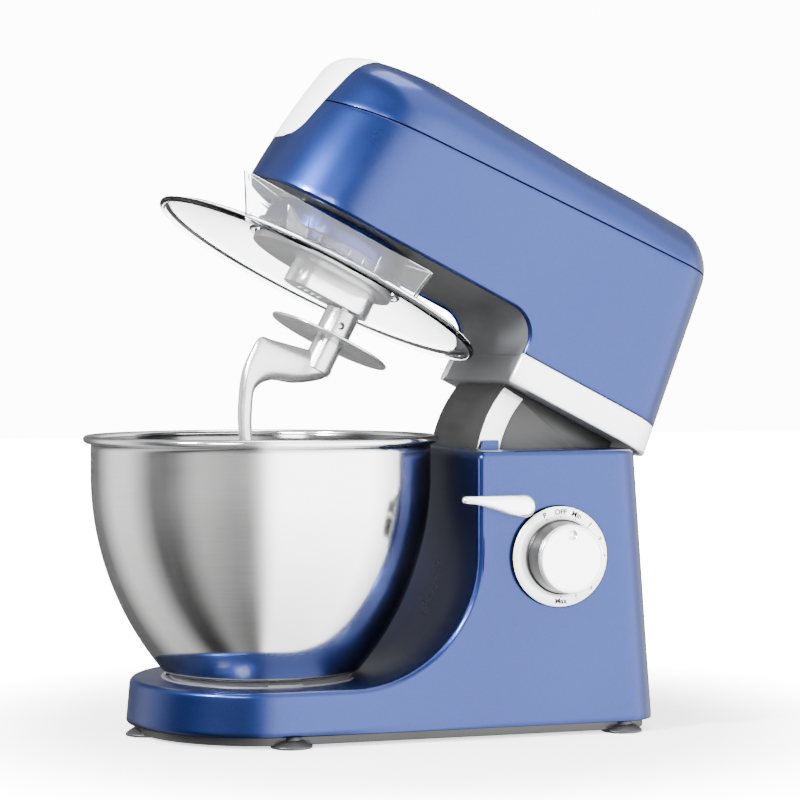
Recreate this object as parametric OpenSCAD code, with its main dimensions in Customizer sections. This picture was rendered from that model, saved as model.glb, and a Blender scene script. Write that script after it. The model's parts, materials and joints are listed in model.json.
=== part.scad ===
// Tilt-head stand mixer, shown with its head raised
// Millimetres, +Z up, front towards -Y, speed knob on the +X side
// The origin is on the table under the middle of the whole machine

/* [Bowl] */
// Outer radius of the bowl's straight wall
bowl_r = 115.5; // [98:0.5:132]
// Height of the bowl from its bottom to the middle of its rolled rim
bowl_h = 158; // [132:1:185]
// Thickness of the bowl's sheet
bowl_wall = 1; // [0.8:0.1:1.6]
// Radius of the rolled rim's bead
bead_r = 2.8; // [2:0.1:3.4]
// Radius of the round foot under the bowl
bowl_foot_r = 62; // [50:1:66]

/* [Base] */
// Width of the base and of the column
base_w = 183; // [172:1:215]
// Height of the housing's lower edge above the table
foot_gap = 8; // [6:0.5:12]
// Height of the platform's top face
platform_h = 37; // [32:1:45]
// Height of the column above the table
column_h = 191; // [180:1:198]
// Length of the column from front to rear at its foot
column_l = 130; // [125:1:150]
// How far the rear face leans in from its foot to its top
rear_lean = 13.6; // [8:0.2:16]
// Thickness of the plastic shells
wall = 2.5; // [2:0.1:3.2]
// Radius of a suction cup
cup_r = 13.75; // [11:0.25:15]

/* [Controls] */
// Radius of the printed ring round the speed knob
dial_r = 33.5; // [29:0.5:38]
// Radius of the speed knob's skirt
knob_r = 25; // [21:0.5:27]
// How far the speed knob stands out of its ring
knob_h = 21.5; // [18:0.5:24]
// Length of the release lever from its pivot to its tip
lever_l = 42; // [36:1:48]

/* [Head] */
// Width of the head
head_w = 151; // [144:1:168]
// Gap between the column and the closed head
head_gap = 6.5; // [6:0.5:10]
// Height of the arch under the head's nose above the head's lowest face
arch_rise = 47; // [44:1:56]
// Height of the head over the arch
nose_h = 107; // [104:1:128]
// Height of the silver band round the head's rear
band_h = 21; // [16:1:25]
// Angle by which the head tips back
tilt = 27; // [22:1:30]

/* [Planetary drive] */
// Module of the planetary gears' teeth
ring_module = 1.5; // [1.3:0.05:1.5]
// Teeth of the planet gear
planet_teeth = 18; // [16:2:18]
// Teeth of the fixed ring gear
ring_teeth = 54; // [52:2:54]
// Radius of the collar under the head
collar_r = 50.5; // [49:0.5:60]
// Radius of the shaft that drives the tool
output_r = 5; // [4:0.25:6]
// Radius of the main shaft
main_r = 6; // [5:0.25:7]
// Teeth of the main gear
gear_teeth = 48; // [44:2:48]
// Teeth of the pinion on the countershaft
pinion_teeth = 12; // [12:1:14]
// Radius of the large belt pulley
big_pulley_r = 32; // [26:1:34]
// Radius of the motor's belt pulley
small_pulley_r = 10; // [8:0.5:12]

/* [Tools] */
// Radius of the shield above the dough hook
shield_r = 43.5; // [36:0.5:46]
// Reach of the dough hook from its own axis
hook_reach = 43; // [36:1:46]
// How far the hook's tip stays above the bowl's bottom
hook_lift = 14; // [10:1:20]
// Rise of the splash guard from its rim to its collar
guard_rise = 13; // [10:1:16]

/* [Hidden] */
$fn = 96;

// Clearances
run = 0.05;
gap = 0.3;
loose = 0.6;
screw_r = 2;
screw_fit = 0.1;

// Bowl, measured from its axis
bowl_lift = 3;
bowl_base_z = platform_h + bowl_lift;
rim_z = bowl_base_z + bowl_h;
bead_at = bowl_r + bead_r - 0.5;
rim_r = bead_at + bead_r;
bowl_floor_r = bowl_foot_r + 3.6;
bowl_arc_z = bowl_base_z + bowl_h * 0.852;
bowl_arc_r = (pow(bowl_r - bowl_floor_r, 2) + pow(bowl_arc_z - bowl_base_z, 2))
    / (2 * (bowl_r - bowl_floor_r));
bowl_clear = 4;

// Base and column
base_r = base_w / 2;
column_front = rim_r + 4.7;
column_rear = column_front + column_l;
scoop_r = 86;
corner_r = 25;
plate_t = 3;
plate_z = foot_gap + 0.5;
lean_angle = atan(rear_lean / (column_h - foot_gap));
function rear_at(z) = column_rear - (z - foot_gap) * rear_lean / (column_h - foot_gap);
seat_r = bowl_foot_r + 6;
seat_t = 4;
feet = [[0, -(base_r - 12)], [base_r - 11, 0], [-(base_r - 11), 0],
    [base_r - 11, column_rear - 24], [-(base_r - 11), column_rear - 24]];
stem_r = 7;
plate_screw_at = [[0, -(base_r - 28)], [base_r - 12, 55], [-(base_r - 12), 55],
    [base_r - 12, column_rear - 52], [-(base_r - 12), column_rear - 52]];

// Hinge of the head, shared by the base and the head
hinge_y = rear_at(column_h) - 15.5;
hinge_z = column_h - 15.5;
hinge_pin_r = 4;
boss_r = 9;
neck_r = 89.5;
neck_w = 98;
neck_low = 25;
ear_x = 38;
ear_t = 5;
cheek_x = neck_w / 2 + 3;
cheek_t = 4;

// Head, in its closed place
head_bottom = column_h + head_gap;
band_top = head_bottom + band_h;
under_z = head_bottom + arch_rise;
head_top = under_z + nose_h + 5;
head_r = head_w / 2;
arch_y = column_front + 8.5;
arch_r = 22;
nose_y = 3;
nose_front = nose_y - head_r - 0.5;
front_lean = 13;
head_rear = hinge_y + 22;
head_lean = 13;
top_drop = 6;
split_front = under_z + nose_h * 0.63;
split_rise = 16;
rim_t = 5;
cap_w = 90;
cap_z = under_z + 37;
cap_back = nose_front + 24;

// Planetary unit under the nose, round the bowl's axis
offset_e = ring_module * (ring_teeth - planet_teeth) / 2;
collar_h = 24;
collar_bottom = under_z - collar_h;
ring_z = collar_bottom + 5.5;
ring_t = 12;
ring_outer = collar_r - 3;
disc_top = collar_bottom - 1.5;
disc_t = 5;
disc_r = collar_r + 1.5;
box_bottom = disc_top - disc_t - 16.5;
box_r = 15.5;
hub_r = 12;
hub_top = box_bottom - 1.2;
hub_bottom = hub_top - 38;
shield_z = hub_top - 23;
pin_z = hub_top - 11;
pin_r = 1.6;

// Gears and belt inside the head
frame_t = 5;
frame_z = under_z + wall + 0.5;
frame_top = frame_z + frame_t;
gear_module = 1.25;
gear_y = gear_module * (gear_teeth + pinion_teeth) / 2;
gear_z = frame_top + 12;
gear_t = 10;
bridge_z = gear_z + gear_t + 26;
bridge_t = 5;
bearing_r = 13;
small_bearing_r = 11;
motor_y = gear_y + 112;
motor_r = 38;
rotor_r = 22;
belt_z = bridge_z + 27;
belt_w = 10;
belt_t = 1.6;

// Splash guard
guard_z = rim_z + 9;
guard_r = rim_r - 1.5;
guard_t = 1.8;
guard_in = disc_r + 1.2;
chute_x = guard_r * 0.7;

// Base's inner parts
seat_screw_at = [for (a = [45:90:315]) (bowl_foot_r - 10) * [cos(a), sin(a)]];
lug_n = 3;
board_y = column_front + 40;
board_x = -base_r + wall + 18;
gland_r = 7;
gland_z = 34;
gland_at = [-base_r / 2, rear_at(gland_z), gland_z];

// Controls
dial_t = 4;
knob_y = column_front + 56;
knob_z = column_h - 70.5;
spindle_r = 3;
lever_y = column_front + 29.5;
lever_z = column_h - 36.5;
lever_shaft_r = 4;
lever_t = 9;
lever_end_r = 7.6;
lever_tip_r = 2.6;
lever_rise = 4.8;

// Drive
collar_screw_r = collar_r - 8;
collar_screw_a = [0:60:300];
post_at = [[-42, -12], [42, -12], [-42, 62], [42, 62]];
countershaft_r = 4;
bush_r = hinge_pin_r + 2;
// An even count of teeth already has one facing the main gear, so it is turned half a tooth
pinion_phase = pinion_teeth % 2 == 0 ? 0.5 : 0;
stator_z = frame_top + 12;
stator_h = 40;
bell_h = 4;
motor_top = stator_z + stator_h + 16;
motor_shaft_r = 3.5;

// Dough hook and chute; each station of the hook's arm is [x, y, z, half width, half height]
hook_depth = hub_bottom - (bowl_base_z + bowl_wall + hook_lift);
hook_stations = [
    [0, -2, hub_bottom + 4, 8, 8],
    [1, -17, hub_bottom - 2, 5.5, 11],
    [1, -32, hub_bottom - 8, 5, 11],
    [0, -hook_reach, hub_bottom - 22, 5, 7.5],
    [0, -hook_reach + 2, hub_bottom - hook_depth * 0.42, 5, 5.2],
    [2, -hook_reach + 18, hub_bottom - hook_depth * 0.68, 5, 5],
    [4, -hook_reach + 36, hub_bottom - hook_depth * 0.9, 4.8, 4.8],
    [2, 6, hub_bottom - hook_depth + 5.2, 4.6, 4.6],
    [-8, 20, hub_bottom - hook_depth + 10, 4.2, 4.2],
    [-14, 24, hub_bottom - hook_depth + 22, 2.6, 2.6]];
chute_top = guard_z + 24;
chute_rear = guard_r * 0.4;
chute_front = -guard_r * 0.64;

// Place of the bowl's axis in the whole machine
rear_tip = hinge_y + (head_rear - 40 - hinge_y) * cos(tilt)
    + (head_top - 34 - hinge_z) * sin(tilt) + 30;
axis_y = (rim_r - rear_tip) / 2;

// ---- shared shapes ----

module on_base() translate([0, axis_y, 0]) children();

module on_head()
    on_base() translate([0, hinge_y, hinge_z]) rotate([-tilt, 0, 0])
        translate([0, -hinge_y, -hinge_z]) children();

// Extrudes a side view, drawn as (y, z), along X
module side(width) rotate([90, 0, 90]) linear_extrude(width, center = true) children();

module rod(r, z0, z1) translate([0, 0, z0]) cylinder(r = r, h = z1 - z0);

// A ring of a given inner and outer radius between two heights
module ring(r0, r1, z0, z1) difference() {
    rod(r1, z0, z1);
    rod(r0, z0 - 1, z1 + 1);
}

// A rod along X between two places
module x_rod(r, x0, x1, y, z)
    translate([x0, y, z]) rotate([0, 90, 0]) cylinder(r = r, h = x1 - x0);

module block(lo, hi) translate(lo) cube(hi - lo);

function arc(c, r, a0, a1, n = 8) =
    [for (i = [0:n]) let(a = a0 + (a1 - a0) * i / n) c + r * [cos(a), sin(a)]];

// A pan-headed screw that points up from its head
module screw(length, r = screw_r) {
    cylinder(r = r, h = length);
    translate([0, 0, -2.2]) cylinder(r = r * 1.9, h = 2.2);
}

// Outline of a gear with straight-flanked teeth; phase turns it by parts of a tooth
function gear_points(m, teeth, r_tip, r_root, phase) =
    [for (i = [0:teeth - 1]) let(p = 360 / teeth, a = 90 + (i + phase) * p)
        each [r_root * [cos(a - 0.34 * p), sin(a - 0.34 * p)],
            r_tip * [cos(a - 0.12 * p), sin(a - 0.12 * p)],
            r_tip * [cos(a + 0.12 * p), sin(a + 0.12 * p)],
            r_root * [cos(a + 0.34 * p), sin(a + 0.34 * p)]]];

module gear(m, teeth, height, phase)
    linear_extrude(height)
        polygon(gear_points(m, teeth, m * teeth / 2 + 0.85 * m, m * teeth / 2 - 1.15 * m, phase));

// A coil of round wire along X, as a row of closed turns
module coil_x(r, wire, turns, x0)
    for (i = [0:turns - 1]) translate([x0 + (i + 0.5) * (wire + 0.2), 0, 0])
        rotate([0, 90, 0]) rotate_extrude() translate([r, 0]) circle(r = wire / 2, $fn = 24);

// ---- base ----

// Plan outline of the base, set in by t, with a half-round front
module base_plan(t) {
    r = corner_r - t;
    back = column_rear - corner_r;
    polygon(concat(arc([0, 0], base_r - t, 180, 360, 48),
        arc([base_r - corner_r, back], r, 0, 90), arc([corner_r - base_r, back], r, 90, 180)));
}

// Side view of the base and column, set in by t
module base_profile(t, floor_z) {
    cy = column_front - scoop_r;
    cz = platform_h + scoop_r;
    top = column_h - t;
    polygon(concat([[-base_r, floor_z], [-base_r, platform_h - t], [cy, platform_h - t]],
        arc([cy, cz], scoop_r + t, 270, 360, 16),
        [[column_front + t, top], [rear_at(top) - t, top], [rear_at(floor_z) - t, floor_z]]));
}

module base_solid(t, floor_z) intersection() {
    side(base_w - 2 * t) base_profile(t, floor_z);
    translate([0, 0, floor_z]) linear_extrude(column_h) base_plan(t);
}

// Space that the bowl sweeps, set out by t, down to a height
module bowl_space(t, z0) rotate_extrude() intersection() {
    translate([0, z0]) square([bowl_r + t, rim_z - z0 + 20]);
    union() {
        translate([bowl_r - bowl_arc_r, bowl_arc_z]) circle(r = bowl_arc_r + t, $fn = 180);
        translate([0, bowl_arc_z]) square([bowl_r + t, bowl_h]);
    }
}

module base_housing() color([0.25, 0.36, 0.62]) on_base() difference() {
    base_solid(0, foot_gap);
    difference() {
        base_solid(wall, foot_gap - 1);
        for (p = plate_screw_at) translate([p.x, p.y, 0]) rod(5, plate_z + plate_t, column_h);
        for (p = seat_screw_at) translate([p.x, p.y, 0])
            rod(5, platform_h - wall - seat_t - 9, platform_h);
        rod(seat_r + wall, platform_h - seat_t - wall, platform_h);
    }
    rod(seat_r, platform_h - seat_t, platform_h + 1);
    for (p = seat_screw_at) translate([p.x, p.y, 0])
        rod(screw_r + screw_fit, platform_h - wall - seat_t - 8, platform_h);
    bowl_space(bowl_clear, platform_h);
    for (p = plate_screw_at) translate([p.x, p.y, 0])
        rod(screw_r + screw_fit, plate_z, plate_z + plate_t + 12);
    block([-neck_w / 2 - 1.5, hinge_y - neck_r - 2, column_h - wall - 1],
        [neck_w / 2 + 1.5, rear_at(column_h) - 5, column_h + 1]);
    x_rod(spindle_r + loose, base_r - wall - 1, base_r + 1, knob_y, knob_z);
    x_rod(lever_shaft_r + loose, base_r - wall - 1, base_r + 1, lever_y, lever_z);
    translate(gland_at) rotate([lean_angle, 0, 0]) rotate([90, 0, 0])
        cylinder(r = gland_r + screw_fit, h = 30, center = true);
}

module base_plate() color([0.1, 0.1, 0.11]) on_base() difference() {
    translate([0, 0, plate_z]) linear_extrude(plate_t) base_plan(wall + gap);
    for (p = feet) translate([p.x, p.y, 0]) rod(screw_r + screw_fit, 0, plate_z + plate_t + 1);
    for (p = plate_screw_at) translate([p.x, p.y, 0])
        rod(screw_r + screw_fit, 0, plate_z + plate_t + 1);
    for (i = [-4:4], s = [0, 1]) translate([i * 9 - 2, column_front + 30 + s * 34, 0])
        cube([4, 24, 20]);
}

// Soft cups with a shallow hollow underneath
module suction_feet() color([0.03, 0.03, 0.03]) on_base()
    for (p = feet) translate([p.x, p.y, 0]) difference() {
        union() {
            cylinder(r = cup_r, h = 1.6);
            translate([0, 0, 1.6]) cylinder(r1 = cup_r, r2 = stem_r + 2, h = 3.4);
            rod(stem_r, 4, plate_z);
        }
        translate([0, 0, -1]) cylinder(r1 = cup_r - 3, r2 = cup_r - 6, h = 2.6);
        rod(screw_r + screw_fit, -1, plate_z + 1);
        rod(screw_r * 1.9 + screw_fit, -1, 4.4);
    }

module foot_screws() color([0.7, 0.7, 0.72]) on_base()
    for (p = feet) translate([p.x, p.y, 4.4]) screw(plate_z + plate_t + 3 - 4.4);

module plate_screws() color([0.7, 0.7, 0.72]) on_base()
    for (p = plate_screw_at) translate([p.x, p.y, plate_z]) screw(plate_t + 10);

// Wedge in plan, ten degrees to each side of +X, that cuts a lug out of a ring
module lug_wedge() linear_extrude(head_top) polygon([[0, 0], [100, -18], [100, 18]]);

// Ring let into the platform, with three lips that hold down the lugs of the bowl's foot
module bowl_seat() color([0.16, 0.16, 0.17]) on_base() difference() {
    union() {
        rod(seat_r - gap, platform_h - seat_t, platform_h - seat_t + 2);
        ring(bowl_foot_r + 3, seat_r - gap, platform_h - seat_t, platform_h + 0.6);
        for (i = [0:lug_n - 1]) rotate(i * 360 / lug_n) intersection() {
            ring(bowl_foot_r + gap, bowl_foot_r + 4.5, platform_h + 0.2, platform_h + 1.6);
            lug_wedge();
        }
    }
    for (p = seat_screw_at) translate([p.x, p.y, 0])
        rod(screw_r + screw_fit, 0, platform_h + 1);
}

module seat_screws() color([0.7, 0.7, 0.72]) on_base()
    for (p = seat_screw_at) translate([p.x, p.y, platform_h - seat_t + 2])
        mirror([0, 0, 1]) {
            cylinder(r = screw_r, h = 9);
            translate([0, 0, -1.2]) cylinder(r = screw_r * 1.8, h = 1.2);
        }

// Steel cradle that stands on the base plate and carries the hinge pin
module hinge_bracket() color([0.6, 0.61, 0.63]) on_base() difference() {
    foot_z = plate_z + plate_t;
    union() {
        for (s = [-1, 1]) block_x(s, cheek_x, cheek_x + cheek_t)
            side(cheek_t) polygon([[hinge_y - 50, foot_z], [hinge_y - 8, hinge_z + 6],
                [hinge_y + 8, hinge_z + 6], [hinge_y + 8, foot_z + 30], [hinge_y + 14, foot_z]]);
        block([-cheek_x, hinge_y - 50, foot_z], [cheek_x, hinge_y + 14, foot_z + 3]);
    }
    x_rod(hinge_pin_r, -cheek_x - cheek_t - 1, cheek_x + cheek_t + 1, hinge_y, hinge_z);
}

// Places a plate of a side view between two distances from the middle, on one side
module block_x(s, x0, x1) translate([s * (x0 + x1) / 2, 0, 0]) children();

module hinge_pin() color([0.75, 0.75, 0.77]) on_base()
    x_rod(hinge_pin_r, -cheek_x - cheek_t - 3, cheek_x + cheek_t + 3, hinge_y, hinge_z);

// Torsion spring round the pin, wound close, between the two ears
module hinge_spring() color([0.5, 0.5, 0.52]) on_base() translate([0, hinge_y, hinge_z])
    coil_x(hinge_pin_r + 3.2, 3, 14, -22.4);

module dial_ring() color([0.85, 0.85, 0.86]) on_base() difference() {
    x_rod(dial_r, base_r, base_r + dial_t, knob_y, knob_z);
    x_rod(knob_r - 4, base_r - 1, base_r + dial_t + 1, knob_y, knob_z);
    for (i = [-1:8]) rotate_at_knob(22.5 * i)
        translate([base_r + dial_t, 0, knob_r + 3]) rotate([0, 90, 0]) cylinder(r = 0.6, h = 1);
}

// Turns a piece clockwise about the knob's axis, as seen from outside
module rotate_at_knob(a) translate([0, knob_y, knob_z]) rotate([-a, 0, 0]) children();

module speed_switch() color([0.12, 0.12, 0.13]) on_base() difference() {
    union() {
        x_rod(15, base_r - wall - 20, base_r - wall, knob_y, knob_z);
        block([base_r - wall - 24, knob_y - 12, knob_z - 20],
            [base_r - wall - 20, knob_y + 12, knob_z + 14]);
    }
    x_rod(spindle_r + gap, base_r - wall - 16, base_r + 1, knob_y, knob_z);
}

module control_board() color([0.1, 0.35, 0.2]) on_base() {
    z0 = plate_z + plate_t;
    difference() {
        block([board_x, board_y - 12, z0 + 6], [board_x + 2, board_y + 60, z0 + 66]);
        for (y = [board_y - 7, board_y + 55], z = [z0 + 11, z0 + 61])
            x_rod(1.6, -base_r, 0, y, z);
    }
    x_rod(8, board_x + 2, board_x + 11, board_y + 18, z0 + 40);
    block([board_x + 2, board_y + 34, z0 + 24], [board_x + 11, board_y + 54, z0 + 52]);
    block([board_x - 1, board_y - 12, z0], [board_x + 4, board_y + 60, z0 + 6]);
}

// Bush for the mains lead, low in the rear face
module cord_gland() color([0.05, 0.05, 0.05]) on_base()
    translate(gland_at) rotate([lean_angle, 0, 0]) rotate([-90, 0, 0]) difference() {
        union() {
            translate([0, 0, -wall - 4]) cylinder(r = gland_r, h = wall + 4);
            cylinder(r1 = gland_r + 3, r2 = gland_r + 1.5, h = 5);
        }
        translate([0, 0, -20]) cylinder(r = 3.6, h = 40);
    }

// Return spring of the release lever, round its shaft
module latch_spring() color([0.5, 0.5, 0.52]) on_base() translate([0, lever_y, lever_z])
    coil_x(lever_shaft_r + 1.8, 1.4, 7, base_r - wall - 16);

// ---- bowl ----

module bowl() color([0.78, 0.79, 0.8]) on_base() rotate_extrude($fn = 180) {
    difference() {
        intersection() {
            translate([bowl_r - bowl_arc_r, bowl_arc_z]) circle(r = bowl_arc_r, $fn = 180);
            translate([0, bowl_base_z]) square([bowl_r, bowl_arc_z - bowl_base_z]);
        }
        intersection() {
            translate([bowl_r - bowl_arc_r, bowl_arc_z])
                circle(r = bowl_arc_r - bowl_wall, $fn = 180);
            translate([0, bowl_base_z + bowl_wall]) square([bowl_r, bowl_h]);
        }
    }
    translate([bowl_r - bowl_wall, bowl_arc_z - 0.01]) square([bowl_wall, rim_z - bowl_arc_z]);
    translate([bead_at, rim_z]) circle(r = bead_r, $fn = 32);
}

// Foot under the bowl, with lugs that turn in under the seat's lips
module bowl_foot() color([0.2, 0.2, 0.21]) on_base() {
    z0 = platform_h - seat_t + 2 + gap;
    ring(bowl_foot_r - 6, bowl_foot_r, z0, bowl_base_z);
    for (i = [0:lug_n - 1]) rotate(i * 360 / lug_n) intersection() {
        ring(bowl_foot_r - 1, bowl_foot_r + 2.4, z0, z0 + 1.6);
        lug_wedge();
    }
}

// ---- speed knob ----

module speed_knob() color([0.8, 0.8, 0.81]) on_base() translate([base_r + dial_t + gap, knob_y, knob_z])
    rotate([0, 90, 0]) difference() {
        union() {
            cylinder(r = knob_r, h = 3);
            translate([0, 0, 3]) cylinder(r1 = knob_r - 1, r2 = knob_r - 3, h = knob_h - 7);
            translate([0, 0, knob_h - 4]) cylinder(r = knob_r - 2.5, h = 4 - gap);
        }
        translate([0, 0, -1]) cylinder(r = spindle_r, h = 13);
        translate([-(knob_r - 9), 0, knob_h + 2.5]) sphere(r = 4.2, $fn = 48);
    }

module knob_spindle() color([0.7, 0.7, 0.72]) on_base()
    x_rod(spindle_r, base_r - wall - 15, base_r + dial_t + gap + 12, knob_y, knob_z);

// ---- release lever ----

// Blade that is round at its pivot and runs out thin past the column's front
module release_lever() color([0.85, 0.85, 0.86]) on_base() difference() {
    translate([base_r + gap, 0, 0]) rotate([90, 0, 90]) linear_extrude(lever_t)
        polygon(concat(arc([lever_y, lever_z], lever_end_r, -100, 90, 20),
            arc([lever_y - lever_l + lever_tip_r, lever_z + lever_rise - 0.4], lever_tip_r, 95, 245, 8),
            [[lever_y - lever_l * 0.5, lever_z - 2.4]]));
    x_rod(lever_shaft_r, base_r, base_r + 6, lever_y, lever_z);
}

module lever_shaft() color([0.7, 0.7, 0.72]) on_base()
    x_rod(lever_shaft_r, cheek_x, base_r + 6, lever_y, lever_z);

// Finger on the lever's shaft that catches the neck
module latch_pawl() color([0.55, 0.55, 0.57]) on_base() difference() {
    union() {
        x_rod(7, cheek_x, cheek_x + 6, lever_y, lever_z);
        block([cheek_x, lever_y - 4, lever_z - 22], [cheek_x + 6, lever_y + 4, lever_z]);
    }
    x_rod(lever_shaft_r, 0, base_r, lever_y, lever_z);
}

// ---- head shells ----

// Plan outline of the head, set in by t, with a half-round nose
module head_plan(t) {
    r = 26 - t;
    back = head_rear - 26;
    polygon(concat(arc([0, nose_y], head_r - t, 180, 360, 48),
        arc([head_r - 26, back], r, 0, 90), arc([26 - head_r, back], r, 90, 180)));
}

// Side view of the head, set in by t: nose, arch, rear bay and sloping top
module head_profile(t) {
    low = 3;
    nose_z = head_top - top_drop;
    polygon(concat(
        arc([nose_front + 9, under_z + 9], 9 - t, 188, 270, 6),
        arc([arch_y - arch_r, under_z - arch_r], arch_r + t, 90, 0, 8),
        arc([arch_y + low, head_bottom + low], low - t, 180, 270, 3),
        arc([head_rear - low, head_bottom + low], low - t, 270, 365, 3),
        arc([head_rear - head_lean - 26, head_top - 28], 28 - t, 5, 90, 8),
        arc([nose_front + front_lean + 14, nose_z - 14], 14 - t, 90, 188, 6)));
}

// Front view of the head, set in by t, with round shoulders
module head_section(t)
    polygon(concat([[-head_r + t, head_bottom - 1], [head_r - t, head_bottom - 1]],
        arc([head_r - 30, head_top - 30], 30 - t, 0, 90),
        arc([30 - head_r, head_top - 30], 30 - t, 90, 180)));

module head_solid(t) intersection() {
    side(head_w - 2 * t) head_profile(t);
    translate([0, 0, head_bottom - 1]) linear_extrude(head_top) head_plan(t);
    translate([0, head_rear + 10, 0]) rotate([90, 0, 0]) linear_extrude(head_rear + head_w) head_section(t);
}

module head_shell() difference() {
    head_solid(0);
    head_solid(wall);
}

function split_z(y) = split_front + (y - nose_front) * split_rise / (head_rear - nose_front);

// Half space above the sloping split of the head, moved up by d
module above_split(d) side(head_w + 20)
    polygon([[nose_front - 20, split_z(nose_front - 20) + d], [head_rear + 20, split_z(head_rear + 20) + d],
        [head_rear + 20, head_top + 50], [nose_front - 20, head_top + 50]]);

// Window in the underside, set in by d
module under_window(d)
    block([-head_r + rim_t + d, nose_front + 15 + d, head_bottom - 2],
        [head_r - rim_t - d, head_rear - 10 - d, under_z + wall + 0.5 - d]);

// Space of the front cap, set in by d
module cap_space(d) intersection() {
    block([-cap_w / 2 + d, nose_front - 20, cap_z + d], [cap_w / 2 - d, cap_back - d, head_top + 20]);
    translate([0, cap_back, 0]) rotate([90, 0, 0]) linear_extrude(60)
        polygon(concat(arc([cap_w / 2 - 16, cap_z + 16], 16 - d, 270, 360, 6),
            [[cap_w / 2 - d, head_top + 20], [-cap_w / 2 + d, head_top + 20]],
            arc([16 - cap_w / 2, cap_z + 16], 16 - d, 180, 270, 6)));
}

module head_housing() color([0.25, 0.36, 0.62]) on_head() difference() {
    head_shell();
    above_split(-0.2);
    under_window(0);
    cap_space(0);
    translate([-head_w, arch_y - 3, head_bottom - 2]) cube([2 * head_w, head_w * 2, band_h + 2.2]);
}

module top_cover() color([0.25, 0.36, 0.62]) on_head() difference() {
    intersection() {
        head_shell();
        above_split(0.2);
    }
    cap_space(0);
}

module underside_cover() color([0.3, 0.3, 0.31]) on_head() difference() {
    intersection() {
        head_shell();
        under_window(0.2);
    }
    rod(collar_r - 6, under_z - 5, under_z + wall + 5);
    block([-neck_w / 2 + wall, hinge_y - neck_r + 6, head_bottom - 5],
        [neck_w / 2 - wall, head_rear - 14, head_bottom + wall + 1]);
    for (a = collar_screw_a) rotate(a) translate([collar_screw_r, 0, 0])
        rod(screw_r + screw_fit, under_z - 5, under_z + 20);
}

module trim_band() color([0.85, 0.85, 0.86]) on_head() difference() {
    intersection() {
        head_shell();
        translate([-head_w, arch_y - 3, head_bottom - 1]) cube([2 * head_w, head_w * 2, band_h + 1]);
    }
    under_window(0);
}

module front_cap() color([0.88, 0.88, 0.89]) on_head() intersection() {
    head_shell();
    cap_space(0.2);
}

// Sector shape of the neck, round the hinge, with radius r and its lower edge at angle a
module neck_profile(r, a, top)
    intersection() {
        polygon(concat(arc([hinge_y, hinge_z], boss_r + 2, -90, 84, 12), [[hinge_y + 1, hinge_z + 60]],
            arc([hinge_y, hinge_z], r, 150, 180 + a, 20)));
        translate([hinge_y - 200, hinge_z - 200]) square([400, top - hinge_z + 200]);
    }

// Hollow sector that slides down into the column as the head closes
module neck_shell() color([0.3, 0.3, 0.31]) on_head() difference() {
    side(neck_w) neck_profile(neck_r, neck_low, head_bottom);
    side(neck_w - 2 * wall) difference() {
        neck_profile(neck_r - wall, neck_low - 2, head_bottom + 20);
        translate([hinge_y - 4, hinge_z - 30]) square([40, 50]);
    }
    x_rod(bush_r + 1, -neck_w, neck_w, hinge_y, hinge_z);
    block([-neck_w / 2 + wall, hinge_y - 20, hinge_z - 12],
        [neck_w / 2 - wall, hinge_y + 20, head_bottom + 1]);
}

// Curved strips on the two sides of the neck
module neck_strips() color([0.85, 0.85, 0.86]) on_head()
    for (s = [-1, 1]) translate([s * (neck_w / 2 + 0.4), 0, 0]) side(0.8)
        polygon(concat(arc([hinge_y, hinge_z], neck_r - 0.5, 180 + neck_low - 2, 180 - 13, 16),
            arc([hinge_y, hinge_z], neck_r - 16, 180 - 15, 180 + neck_low - 2, 16)));

// ---- head frame and drive ----

// Cast frame: a floor over the arch and two ears down to the hinge
module head_frame() color([0.62, 0.63, 0.65]) on_head() difference() {
    union() {
        block([-60, -20, frame_z], [60, motor_y + 46, frame_top]);
        rod(collar_screw_r + 5, frame_z, frame_top);
        ring(bearing_r, bearing_r + 4, frame_z - 2.6, frame_top + 7);
        translate([0, gear_y, 0]) rod(small_bearing_r - 2, frame_top - 1, frame_top + 3);
        for (p = post_at) translate([p.x, p.y, 0]) rod(6, frame_top - 1, bridge_z);
        for (s = [-1, 1]) block_x(s, ear_x, ear_x + ear_t) side(ear_t)
            polygon(concat([[hinge_y - 80, frame_z + 1], [hinge_y - 80, head_bottom + 6]],
                arc([hinge_y, hinge_z], boss_r, 235, 450, 12), [[hinge_y - 1, frame_z + 1]]));
    }
    rod(bearing_r, frame_z - 5, frame_top + 8);
    translate([0, gear_y, 0]) rod(countershaft_r + run, 0, frame_top + 10);
    translate([0, motor_y, 0]) rod(small_bearing_r, 0, frame_top + 10);
    x_rod(bush_r, -100, 100, hinge_y, hinge_z);
    for (a = collar_screw_a) rotate(a) translate([collar_screw_r, 0, 0])
        rod(screw_r + screw_fit, 0, frame_top + 1);
    for (p = post_at) translate([p.x, p.y, 0]) rod(screw_r + screw_fit, bridge_z - 14, bridge_z + 1);
}

module upper_bridge() color([0.62, 0.63, 0.65]) on_head() difference() {
    union() {
        block([-50, -22, bridge_z], [50, gear_y + 34, bridge_z + bridge_t]);
        ring(bearing_r - 2, bearing_r + 2, bridge_z - 4, bridge_z + bridge_t);
    }
    rod(bearing_r - 2, bridge_z - 5, bridge_z + bridge_t + 1);
    translate([0, gear_y, 0]) rod(countershaft_r + run, 0, head_top);
    for (p = post_at) translate([p.x, p.y, 0]) rod(screw_r + screw_fit, bridge_z - 1, head_top);
}

module hinge_bushes() color([0.75, 0.6, 0.35]) on_head()
    for (s = [-1, 1]) translate([s * (ear_x + ear_t / 2), 0, 0]) difference() {
        x_rod(bush_r, -ear_t / 2, ear_t / 2, hinge_y, hinge_z);
        x_rod(hinge_pin_r + run, -ear_t, ear_t, hinge_y, hinge_z);
    }

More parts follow.
